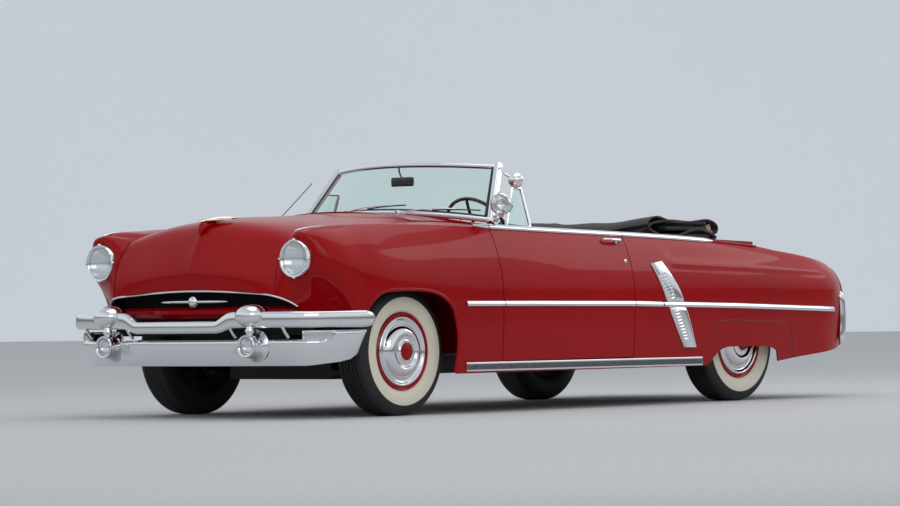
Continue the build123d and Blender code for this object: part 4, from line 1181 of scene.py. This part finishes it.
def screen_frame():
    """Chrome surround, seal and pane of the windscreen."""
    count = 60
    header = [screen_point(a, 0.985) - Vector((0, 0, 0.0105)) for a in np.linspace(-0.985, 0.985, count)]
    bar = sweep(header, box_profile(0.019, -0.014, 0.014, 0.010))
    base_line = [screen_point(a, 0.0) + Vector((0.008, 0, 0.004)) for a in np.linspace(-1, 1, count)]
    base = sweep(base_line, box_profile(0.012, -0.016, 0.014, 0.007))
    posts = []
    for side in (-1, 1):
        line = [screen_point(side * 0.975, s) for s in np.linspace(-0.04, 1.0, 30)]
        posts.append(sweep(line, box_profile(0.019, -0.022, 0.022, 0.008), (1, 0, 0.3)))
    new_piece("screen_surround", join([bar, base] + posts), "chrome", 50, node="windscreen_frame")
    loop = [screen_point(a, 0.945) for a in np.linspace(-0.925, 0.925, 40)]
    loop += [screen_point(0.935, s) for s in np.linspace(0.92, 0.085, 16)]
    loop += [screen_point(a, 0.060) for a in np.linspace(0.925, -0.925, 40)]
    loop += [screen_point(-0.935, s) for s in np.linspace(0.085, 0.92, 16)]
    seal = sweep(loop, box_profile(0.007, -0.008, 0.008, 0.003), (0.6, 0, 0.8), closed=True)
    new_piece("screen_seal", seal, "plastic", 50, look=SEAL)
    grid = np.array([[screen_point(a, s) for s in np.linspace(0.06, 0.945, 20)]
                     for a in np.linspace(-0.94, 0.94, 50)])
    new_piece("screen_pane", outward(shell(grid, 0.005)), "glass", 50, node="windscreen_glass")


screen_frame()

# Rear deck lid, tail ends and tail panel
LID_FRONT_X = WELL_REAR_X - 0.012
LID_BOTTOM_Z = 0.600
# Columns: half width, front z, middle z, shoulder x ahead of the tail and z, tail top z
LID_ROWS = [(0.0, 0.972, 0.950, 0.140, 0.892, 0.790), (0.300, 0.968, 0.945, 0.136, 0.886, 0.786),
            (0.600, 0.948, 0.918, 0.110, 0.850, 0.770)]
LID_KNOTS = [0, 0.38, 0.76, 0.90, 1.03, 1.12, 1.21]
KNOB_PROFILE = [(0.0, 0.018), (0.016, 0.016), (0.022, 0.008), (0.024, 0.0)]


def lid_grid(rows=90, columns=90):
    lines = []
    for _, front_z, middle_z, back, shoulder_z, tail_z in LID_ROWS:
        shoulder_x = TAIL_X + back
        lines.append([(LID_FRONT_X, front_z), ((LID_FRONT_X + shoulder_x) / 2, middle_z),
                      (shoulder_x, shoulder_z), (TAIL_X + back * 0.12, tail_z + (shoulder_z - tail_z) * 0.45),
                      (TAIL_X - 0.030, tail_z - 0.060), (TAIL_X - 0.044, (tail_z - 0.060 + LID_BOTTOM_Z) / 2),
                      (TAIL_X - 0.040, LID_BOTTOM_Z)])
    return np.stack(across_halves([row[0] for row in LID_ROWS], lines, LID_KNOTS, rows, columns), -1)


def trunk_lid():
    new_piece("trunk_lid_skin", shell(lid_grid(), 0.012), "paint", body="trunk_lid", node="trunk_lid")
    knob = lathe(KNOB_PROFILE, (TAIL_X - 0.043, 0, 0.648), BACKWARDS, 32)
    line = both_halves([(TAIL_X - 0.062, 0, 0.646), (TAIL_X - 0.050, 0.07, 0.648)])
    pull = rod(line, 20, 0.008, 10)
    new_piece("trunk_handle", join([knob, pull]), "chrome", SOFT_ANGLE, body="trunk_lid")


trunk_lid()


def tail_ends():
    """Rounded ends of the rear fenders."""
    ts = np.linspace(0, 1, 70)
    edge = flank([TAIL_X], ts)[0]
    hub = np.array((TAIL_X, SEAM_Y, 0.58))
    rows = []
    for turn in np.linspace(0, 90, 10):
        out = 0.030 * math.sin(math.radians(turn))
        scale = 1 - 0.07 * (1 - math.cos(math.radians(turn)))
        rows.append(hub + (edge - hub) * scale - np.array((out, 0, 0)))
    for scale in np.linspace(0.91, 0.02, 14):
        rows.append(hub + (edge - hub) * scale - np.array((0.030 + 0.006 * (1 - scale / 0.91), 0, 0)))
    under = axle_outline(REAR_AXLE_X, TAIL_UNDERSIDE)
    part = shell(np.array(rows), 0.006, under)
    new_piece("rear_fender_ends", with_mirror(outward(part)), "paint", 50)
    panel = []
    for y in np.linspace(-0.602, 0.602, 40):
        panel.append(smooth([(TAIL_X - 0.040, y, 0.592), (TAIL_X - 0.041, y, 0.540),
                             (TAIL_X - 0.038, y, 0.490), (TAIL_X - 0.010, y, 0.440),
                             (TAIL_X + 0.060, y, 0.400)], 16))
    new_piece("tail_skin", outward(shell(np.array(panel), 0.006)), "paint", node="tail_panel")


tail_ends()


LAMP_RIM = [(0.050, 0.0), (0.052, 0.020), (0.046, 0.028), (0.040, 0.022)]
LAMP_GLASS = [(0.040, 0.020), (0.036, 0.034), (0.024, 0.046), (0.010, 0.052), (0.0, 0.053)]


def tail_lamps():
    def pair(rows):
        made = lathe(rows, (0, 0, 0), BACKWARDS, 48)
        return join([stretched(made, (TAIL_X - 0.030, side * 0.705, 0.690), (1, 0.95, 1.7))
                     for side in (-1, 1)])

    new_piece("tail_lamp_rims", pair(LAMP_RIM), "chrome", SOFT_ANGLE)
    new_piece("tail_lamp_lenses", pair(LAMP_GLASS), "tail_lens", SOFT_ANGLE, node="tail_lamps")


tail_lamps()

REAR_END_X = -2.719
REAR_BUMPER_PLAN = [(0, 0), (0.012, 0.300), (0.060, 0.520), (0.130, 0.680), (0.200, 0.790), (0.262, 0.860),
                    (0.292, 0.884)]

# Upright guards: x, half width, foot and head
GUARDS = ((-2.686, 0.40, 0.352, 0.632), (-2.402, 0.884, 0.325, 0.655))


def rear_bumper():
    """Bar, lower face, guards and the irons to the frame."""
    path = smooth(both_halves([(REAR_END_X + 0.026 + x, y, 0.495) for x, y in REAR_BUMPER_PLAN]), 130)
    parts = [rounded_bar(path, 0.026, 0.052, 0.55)]
    low = path[8:-8] * np.array((1, 1, 0)) + np.array((0.020, 0, 0.405))
    parts.append(sweep(low, box_profile(0.010, -0.045, 0.045, 0.009)))
    size = np.sqrt(np.clip(1 - np.abs(np.linspace(-1, 1, 24)) ** 5, 0.03, 1)) * 0.028
    for side in (-1, 1):
        for x, y, foot, head in GUARDS:
            line = [(x + 0.010, side * y, foot), (x, side * y, foot + 0.080), (x, side * y, head - 0.070),
                    (x + 0.012, side * y, head)]
            parts.append(rod(line, 24, size, 18, 0.8, (0, 1, 0)))
        parts.append(plate_bracket(-2.420, side, 0.405, 0.455, -0.27))
    new_piece("rear_bumper_bar", join(parts), "chrome", 50, node="rear_bumper")


rear_bumper()

# Seats: crowned cushions with sewn channels
LARGEST_CORNER = 0.055


def box_surface(low, size, counts):
    """Bmesh of a closed grid over the surface of a box."""
    work = bmesh.new()
    made = {}
    for fixed in range(3):
        a, b = [i for i in range(3) if i != fixed]
        for level in (0, counts[fixed]):
            for i, j in np.ndindex(counts[a], counts[b]):
                corners = []
                for di, dj in ((0, 0), (1, 0), (1, 1), (0, 1)):
                    place = [0, 0, 0]
                    place[fixed], place[a], place[b] = int(level), i + di, j + dj
                    key = tuple(place)
                    if key not in made:
                        made[key] = work.verts.new(low + size * np.array(key) / counts)
                    corners.append(made[key])
                work.faces.new(corners)
    bmesh.ops.recalc_face_normals(work, faces=work.faces)
    return work


def cushion(low, high, channels, axis, crown, lean=0.0, groove=0.010, density=0.016):
    """Rounded closed cushion in a box. Channels run across the given axis; lean tips its top backwards."""
    low, high = np.array(low, float), np.array(high, float)
    size = high - low
    work = box_surface(low, size, np.maximum(np.round(size / density).astype(int), 4))
    corner = min(LARGEST_CORNER, size.min() * 0.42)
    face_axis = int(np.argmin(size))
    a, b = [i for i in range(3) if i != face_axis]
    for v in work.verts:
        p = np.array(v.co)
        core = np.clip(p, low + corner, high - corner)
        reach = np.linalg.norm(p - core)
        if reach > TINY:
            p = core + (p - core) / reach * corner
        place = (p - (low + high) / 2) / (size / 2)
        side = place[face_axis]
        dome = (1 - min(abs(place[a]), 1) ** 2.5) * (1 - min(abs(place[b]), 1) ** 2.5)
        p[face_axis] += math.copysign(crown * dome * abs(side), side)
        phase = (p[axis] - low[axis]) / size[axis] * channels
        pinch = 1 - abs(math.sin(math.pi * phase)) ** 0.45
        inner = max(0.0, 1 - max(abs(place[a]), abs(place[b])) ** 8)
        p[face_axis] -= math.copysign(groove * pinch * inner * ease(abs(side) * 1.3 - 0.3), side)
        p[0] -= lean * (p[2] - low[2])
        v.co = p
    vertices = [tuple(v.co) for v in work.verts]
    work.verts.index_update()
    faces = [tuple(v.index for v in face.verts) for face in work.faces]
    work.free()
    return vertices, faces


def seat(name, base, back, plinth):
    """Seat from the boxes of its cushion, its backrest and its plinth."""
    piece = new_piece(f"{name}_cushion", cushion(*base, 14, 1, 0.020), "leather", 70, node=name)
    rest = new_piece(f"{name}_backrest", cushion(*back, 14, 1, 0.018, lean=0.22), "leather", 70)
    new_piece(f"{name}_plinth", cushion(*plinth, 1, 1, 0.0, groove=0), "leather", 50)


seat("front_seat", ((-0.10, -0.685, 0.475), (0.425, 0.685, 0.615)),
     ((0.005, -0.685, 0.560), (0.135, 0.685, 0.975)), ((-0.10, -0.66, 0.335), (0.375, 0.66, 0.490)))
seat("rear_seat", ((-0.78, -0.595, 0.475), (-0.355, 0.595, 0.615)),
     ((-0.700, -0.595, 0.550), (-0.575, 0.595, 0.930)), ((-0.78, -0.58, 0.335), (-0.40, 0.58, 0.490)))


def folded_top():
    """Canvas folded in layers on the shelf, with the lining's roll at its rear."""
    fold = smooth([(-0.78, 0.950), (-1.10, 0.958), (-1.44, 0.966), (-1.505, 0.990), (-1.46, 1.018),
                   (-1.20, 1.022), (-0.86, 1.026), (-0.825, 1.044), (-0.865, 1.062), (-1.20, 1.068),
                   (-1.40, 1.070)], 70)
    rows = []
    for y in np.linspace(-0.585, 0.585, 60):
        wave = 0.004 * math.sin(9 * y + 1) + 0.003 * math.sin(23 * y) + 0.042 * (y / 0.585) ** 2 - 0.037
        rows.append([(x + 0.012 * math.sin(5 * y + 40 * z) * 0.4, y, z + wave * (1 + 0.6 * math.sin(14 * x)))
                     for x, z in fold])
    new_piece("folded_canvas", outward(shell(np.array(rows), 0.014)), "top_cloth", SOFT_ANGLE,
              node="folded_top")
    fill = []
    for low_x, high_x, low_z, high_z in ((-1.42, -0.84, 0.934, 0.962), (-1.46, -1.00, 0.975, 1.014),
                                         (-1.40, -1.00, 1.034, 1.060)):
        fill.append(cushion((low_x, -0.575, low_z), (high_x, 0.575, high_z), 1, 1, 0.004, groove=0,
                            density=0.03))
    filler = new_piece("folded_pads", join(fill), "top_cloth", SOFT_ANGLE)
    rolls = []
    for x, z, size in ((-1.440, 1.052, 0.024), (-1.465, 1.020, 0.020)):
        line = [(x + 0.004 * math.sin(7 * y), y,
                 z + 0.004 * math.sin(11 * y + x) + 0.040 * (y / 0.57) ** 2 - 0.035)
                for y in np.linspace(-0.57, 0.57, 50)]
        rolls.append(sweep(line, disc_profile(size, 16, 0.85)))
    roll = new_piece("lining_roll", join(rolls), "top_cloth", SOFT_ANGLE, look=LINING)
    cap = smooth([(-0.835, 1.060), (-0.805, 1.070), (-0.820, 1.086), (-1.00, 1.092), (-1.34, 1.092),
                  (-1.47, 1.082), (-1.512, 1.050), (-1.495, 1.020)], 50)
    rows = []
    for y in np.linspace(-0.588, 0.588, 60):
        wave = 0.003 * math.sin(6 * y + 2) + 0.003 * math.sin(17 * y) + 0.042 * (y / 0.588) ** 2 - 0.037
        rows.append([(x, y, z + wave) for x, z in cap])
    new_piece("canvas_flap", outward(shell(np.array(rows), 0.008)), "top_cloth", SOFT_ANGLE)


folded_top()

# Cabin: dashboard, steering wheel, mirrors, wipers
STEER_CENTRE = Vector((FRONT_AXLE_X - 1.190, 0.400, 1.020))
STEER_AXIS = Vector((-math.cos(math.radians(30)), 0, math.sin(math.radians(30))))
STEER_RADIUS = 0.218
HUB_BUTTON = [(0.0, 0.016), (0.020, 0.014), (0.032, 0.004), (0.036, -0.015), (0.0, -0.015)]
SPOKE_LINE = ((0.020, -0.006), (0.10, -0.014), (0.16, -0.010), (0.212, 0.0))


def steering_wheel():
    """Rim with two spokes, and the horn's button and ring."""
    turn = STEER_AXIS.to_track_quat("Z", "Y").to_matrix()
    axis = tuple(STEER_AXIS)

    def spot(x, y, dip=0):
        return STEER_CENTRE + turn @ Vector((x, y, dip))

    rim = [spot(STEER_RADIUS * math.cos(a), STEER_RADIUS * math.sin(a))
           for a in np.linspace(0, 2 * math.pi, 96, endpoint=False)]
    parts = [sweep(rim, disc_profile(0.0105, 14), axis, closed=True)]
    for a in (0, math.pi):
        line = [spot(radius * math.sin(a), radius * math.cos(a), dip) for radius, dip in SPOKE_LINE]
        parts.append(rod(line, 16, 0.011, 12, 0.5, axis))
    new_piece("steering_rim", join(parts), "plastic", SOFT_ANGLE, body="steering_wheel",
              node="steering_wheel")
    hub = lathe(HUB_BUTTON, STEER_CENTRE, STEER_AXIS, 40)
    new_piece("horn_button", hub, "chrome", SOFT_ANGLE, body="steering_wheel")
    half = [spot(0.125 * math.cos(a), 0.125 * math.sin(a), -0.010)
            for a in np.radians(np.linspace(30, 150, 30))]
    new_piece("horn_ring", sweep(half, disc_profile(0.004, 8), axis), "chrome", SOFT_ANGLE,
              body="steering_wheel")


steering_wheel()

# Dials: y, height of the middle and radius. Knob: radius and distance from the panel
DIALS = ((0.40, 0.985, 0.045), (0.30, 0.975, 0.028), (0.50, 0.975, 0.028))
DASH_KNOB = [(0.0, 0.022), (0.009, 0.020), (0.010, 0.006), (0.006, 0.0), (0.006, -0.008)]


def dashboard():
    """Panel with three dials and a row of knobs."""
    profile = smooth([(-0.765, 0.846), (-0.955, 0.852), (-0.990, 0.900), (-1.002, 0.960), (-0.985, 1.010),
                      (-0.940, 1.022), (-0.800, 1.022)], 40)
    rows = [[(FRONT_AXLE_X + x, y, z) for x, z in profile] for y in np.linspace(-0.768, 0.768, 60)]
    new_piece("dash_panel", outward(shell(np.array(rows), 0.004)), "paint", 50, node="dashboard")
    bezels, faces = [], []
    for y, z, size in DIALS:
        place, axis = (FRONT_AXLE_X - 0.997, y, z - 0.040), (-1, 0, 0.12)
        rows = [(size - 0.006, 0.004), (size, 0.012), (size + 0.004, 0.002), (size + 0.003, -0.010)]
        bezels.append(lathe(rows, place, axis, 40))
        faces.append(lathe([(size - 0.005, 0.004), (0.0, 0.004)], place, axis, 40))
    for y in (0.12, 0.06, 0.0, -0.06, -0.12):
        bezels.append(lathe(DASH_KNOB, (FRONT_AXLE_X - 0.998, y, 0.935), BACKWARDS, 20))
    new_piece("dash_bezels", join(bezels), "chrome", 50)
    new_piece("dial_faces", join(faces), "plastic", 50)


dashboard()


def screen_fittings():
    """Interior mirror and wipers."""
    top = screen_point(0, 0.97)
    middle = Vector((0.712, -0.040, 1.318))
    bend = (middle + Vector((0.030, 0, 0.060)), middle + Vector((0.004, 0, 0.020)))
    new_piece("mirror_stem", tube([top + Vector((-0.010, 0, 0)), *bend], 0.006), "chrome", SOFT_ANGLE)
    half = Vector((0.012, 0.082, 0.027))
    case = cushion(middle - half, middle + half, 1, 1, 0.003, groove=0, density=0.006)
    new_piece("mirror_case", case, "plastic", SOFT_ANGLE)
    arms, blades = [], []
    for side in (1, -1):
        start = screen_point(side * 0.30, -0.02) + Vector((0.050, 0, 0.006))
        end = screen_point(side * 0.30 + 0.42, 0.14) + Vector((0.016, 0, 0.004))
        lift = (start + end) / 2 + Vector((0.020, 0, 0.012))
        arms.append(tube(smooth([start, lift, end], 14), 0.0035))
        arms.append(lathe([(0.0, 0.022), (0.010, 0.020), (0.014, 0.0), (0.014, -0.015)], start, (0.2, 0, 1),
                          24))
        line = [screen_point(side * 0.30 + a, s) + Vector((0.010, 0, 0.002))
                for a, s in ((0.24, 0.09), (0.42, 0.13), (0.60, 0.16))]
        blades.append(tube(smooth(line, 14), 0.004))
    new_piece("wiper_arms", join(arms), "chrome", SOFT_ANGLE)
    new_piece("wiper_blades", join(blades), "plastic", SOFT_ANGLE, look=SEAL)


screen_fittings()


def spot_lamp():
    """Spot lamp on its bracket at the foot of the left screen post."""
    middle = Vector((FRONT_AXLE_X - 0.790, 0.905, 1.162))
    ball = [(0.0, -0.062), (0.022, -0.059), (0.042, -0.046), (0.055, -0.024), (0.0595, 0.0), (0.0605, 0.014),
            (0.062, 0.020), (0.061, 0.030), (0.055, 0.034)]
    parts = [lathe(ball, middle, (1, 0.25, 0), 48)]
    foot = Vector((FRONT_AXLE_X - 0.925 - 0.012, 0.728, 1.090))
    parts.append(tube(smooth([foot, (foot + middle) / 2 + Vector((0, 0, -0.016)),
                              middle + Vector((0, 0, -0.050)), middle + Vector((0, 0, -0.030))], 16), 0.010))
    parts.append(lathe([(0.0, 0.030), (0.020, 0.026), (0.026, 0.0)], foot, (0.5, 0.8, 0.1), 24))
    new_piece("spot_lamp_case", join(parts), "chrome", SOFT_ANGLE, node="spot_lamp")
    lens = [(0.0, 0.046), (0.020, 0.044), (0.040, 0.038), (0.054, 0.031)]
    new_piece("spot_lamp_lens", lathe(lens, middle, (1, 0.25, 0), 40), "glass", SOFT_ANGLE, look=LENS)
    dish = [(0.0, -0.020), (0.024, -0.014), (0.042, 0.004), (0.054, 0.028)]
    new_piece("spot_lamp_bowl", lathe(dish, middle, (1, 0.25, 0), 40), "chrome", SOFT_ANGLE, look=REFLECTOR)


spot_lamp()

# Doors' vent windows, handles and locks
VENT = [Vector((0.790, 0.790, 1.036)), Vector((0.540, 0.765, 1.034)), Vector((0.535, 0.692, 1.262)),
        Vector((0.640, 0.712, 1.262))]
HANDLE_LINE = ((-0.075, 0.962, 0.004), (-0.060, 0.963, 0.020), (0.0, 0.966, 0.030), (0.060, 0.969, 0.026),
               (0.085, 0.970, 0.012))
BUTTON_PROFILE = [(0.0, 0.026), (0.011, 0.024), (0.013, 0.004), (0.020, 0.0), (0.020, -0.010)]
LOCK_PROFILE = [(0.0, 0.007), (0.008, 0.006), (0.012, 0.002), (0.012, -0.004)]


def door_fittings(side, name):
    """Vent window, handle with its lock and the lining of one door."""
    def on_door(piece, part, slot, angle):
        new_piece(f"{piece}_{name}", on_hand(part, side), slot, angle, body=f"door_{name}")

    loop = [a.lerp(b, share) for a, b in zip(VENT, VENT[1:] + VENT[:1])
            for share in np.linspace(0.06, 0.94, 10)]
    frame_part = sweep(loop, box_profile(0.007, -0.008, 0.008, 0.003), (0.1, 1, 0.25), closed=True)
    on_door("vent_frame", frame_part, "chrome", 50)
    on_door("vent_pane", slab(VENT, (0, 0.004, 0.001)), "glass", 50)
    handle_x, lock_x = FRONT_AXLE_X - 1.800, FRONT_AXLE_X - 1.880
    path = [(handle_x + x, side_y(handle_x + x, z) + proud, z) for x, z, proud in HANDLE_LINE]
    size = along_run(26, [0, 0.1, 0.3, 0.9, 1], [0.012, 0.016, 0.012, 0.009, 0.004])
    pull = rod(path, 26, size, 14, 0.8)
    foot = (handle_x - 0.055, side_y(handle_x - 0.055, 0.955), 0.957)
    button = lathe(BUTTON_PROFILE, foot, (0, 1, 0.15), 28)
    lock = lathe(LOCK_PROFILE, (lock_x, side_y(lock_x, 0.842), 0.842), (0, 1, 0.1), 28)
    on_door("door_handle", join([pull, button, lock]), "chrome", SOFT_ANGLE)
    wall = wall_y(0.62)
    card, faces = cushion((-0.110, wall - 0.016, 0.360), (0.960, wall + 0.012, 0.980), 18, 0, 0.002,
                          groove=0.004, density=0.022)
    on_door("door_card", ([(x, y + wall_y(z) - wall, z) for x, y, z in card], faces), "leather", SOFT_ANGLE)


for fitting_side, fitting_name in SIDES:
    door_fittings(fitting_side, fitting_name)


def side_mirror():
    """Small round mirror on a bracket at the screen's head, driver's side."""
    middle = Vector((FRONT_AXLE_X - 0.932, 0.890, 1.298))
    back = [(0.0, 0.040), (0.020, 0.037), (0.036, 0.026), (0.044, 0.008), (0.045, -0.004), (0.041, -0.010)]
    parts = [lathe(back, middle, (1, 0.1, 0), 40)]
    head = screen_point(0.975, 0.93)
    parts.append(tube(smooth([head, head + Vector((0.020, 0.050, 0.006)),
                              middle + Vector((0.020, -0.050, 0.030)),
                              middle + Vector((0.012, -0.020, 0.016))], 16), 0.007))
    new_piece("side_mirror_case", join(parts), "chrome", SOFT_ANGLE)
    face = lathe([(0.042, -0.008), (0.0, -0.009)], middle, (1, 0.1, 0), 40)
    new_piece("side_mirror_face", face, "chrome", SOFT_ANGLE, look=REFLECTOR)


side_mirror()


def crown_tips():
    """Small chrome tips where the fender crowns meet the lamps, and the lamps' four points."""
    parts = []
    for side in (-1, 1):
        line = smooth([(2.492, side * 0.726, 1.008), (2.470, side * 0.729, 1.013),
                       (2.400, side * 0.744, 1.026), (2.300, side * 0.764, 1.036)], 20)
        size = np.interp(np.linspace(0, 1, 20), [0, 0.15, 1], [0.003, 0.007, 0.0015])
        parts.append(sweep(line, disc_profile(1, 12, 0.8), scale=size))
        for angle in (0, 90, 180, 270):
            a = math.radians(angle)
            spot = (2.506, side * LAMP_Y + 0.1015 * math.cos(a), LAMP_Z + 0.1015 * math.sin(a))
            parts.append(lathe([(0.0, 0.016), (0.004, 0.013), (0.008, 0.0)], spot, (1, 0, 0), 16))
    new_piece("crown_tips", join(parts), "chrome", SOFT_ANGLE)


crown_tips()

# The camera's sensor in mm, and the photograph's width and focal length in pixels
SENSOR = 36
PHOTO_WIDTH = 900
FOCAL_LENGTH = 4015.68


def camera():
    """The photograph's camera, fitted to the wheels and mirrored pairs of points."""
    place = Vector((18.3845, 15.0997, 0.5943))
    yaw, pitch, roll = math.radians(219.9234), math.radians(0.7590), math.radians(-0.7833)
    ahead = Vector((math.cos(yaw) * math.cos(pitch), math.sin(yaw) * math.cos(pitch), math.sin(pitch)))
    right = Vector((math.sin(yaw), -math.cos(yaw), 0))
    up = right.cross(ahead)
    across = math.cos(roll) * right + math.sin(roll) * up
    over = -math.sin(roll) * right + math.cos(roll) * up
    data = bpy.data.cameras.new("photo_camera")
    data.sensor_width = SENSOR
    data.lens = FOCAL_LENGTH / PHOTO_WIDTH * SENSOR
    data.clip_end = 300
    obj = add_object("photo_camera", data)
    turn = Matrix((across, over, -ahead)).transposed()
    obj.matrix_world = Matrix.Translation(place) @ turn.to_4x4()
    bpy.context.scene.camera = obj


def area_light(name, place, aim, size, power):
    data = bpy.data.lights.new(name, "AREA")
    data.shape = "RECTANGLE"
    data.size, data.size_y = size
    data.energy = power
    obj = add_object(name, data)
    obj.location = place
    obj.rotation_euler = (Vector(aim) - Vector(place)).to_track_quat("-Z", "Y").to_euler()


def stage_card(name, corners, look):
    """Flat card of the studio, kept out of the part."""
    mesh = new_mesh(name, corners, [(0, 1, 2, 3)])
    mesh.materials.append(look)
    add_object(name, mesh)


def sky():
    world = bpy.data.worlds.new("soft_sky")
    world.use_nodes = True
    bpy.context.scene.world = world
    nodes, links = world.node_tree.nodes, world.node_tree.links
    parts = nodes.new("ShaderNodeSeparateXYZ")
    links.new(nodes.new("ShaderNodeTexCoord").outputs["Generated"], parts.inputs["Vector"])
    height = nodes.new("ShaderNodeMath")
    height.operation = "MULTIPLY_ADD"
    height.inputs[1].default_value = 0.5
    height.inputs[2].default_value = 0.5
    links.new(parts.outputs["Z"], height.inputs[0])
    stops = [(0.0, grey(0.20)), (0.50, grey(0.26)), (0.53, grey(0.22)), (0.56, (0.70, 0.74, 0.79)),
             (0.66, (0.90, 0.92, 0.95)), (1.0, (0.50, 0.56, 0.63))]
    links.new(ramp(world.node_tree, height.outputs[0], stops), nodes["Background"].inputs["Color"])
    nodes["Background"].inputs["Strength"].default_value = 0.9


FLOOR_REACH = 60


def studio():
    ground = material("floor_look", (0.56, 0.56, 0.55), 0.9)
    vary(ground, noise(ground, 30, 6), "Base Color", (0.3, grey(0.53)), (0.7, grey(0.60)))
    corners = ((-1, -1), (1, -1), (1, 1), (-1, 1))
    stage_card("floor", [(x * FLOOR_REACH, y * FLOOR_REACH, 0) for x, y in corners], ground)
    sky()
    pale = material("backdrop_look", (0.62, 0.65, 0.68), 0.95, Emission_Color=(0.74, 0.78, 0.82, 1),
                    Emission_Strength=0.35)
    vary(pale, noise(pale, 0.05, 2), "Base Color", (0.3, (0.60, 0.63, 0.66)), (0.7, (0.66, 0.68, 0.70)))
    stage_card("backdrop", [(-30, -60, -0.01), (-64, 10, -0.01), (-64, 10, 9), (-30, -60, 9)], pale)
    bpy.context.scene.view_settings.view_transform = "Standard"
    area_light("top_soft", (0, 1, 6.5), (0, 0, 0.5), (9, 5), 130)
    area_light("front_soft", (8, 8, 5), (1, 0, 0.6), (6, 4), 90)
    area_light("rear_soft", (-8, 4, 5), (-1, 0, 0.6), (5, 4), 90)


camera()
studio()
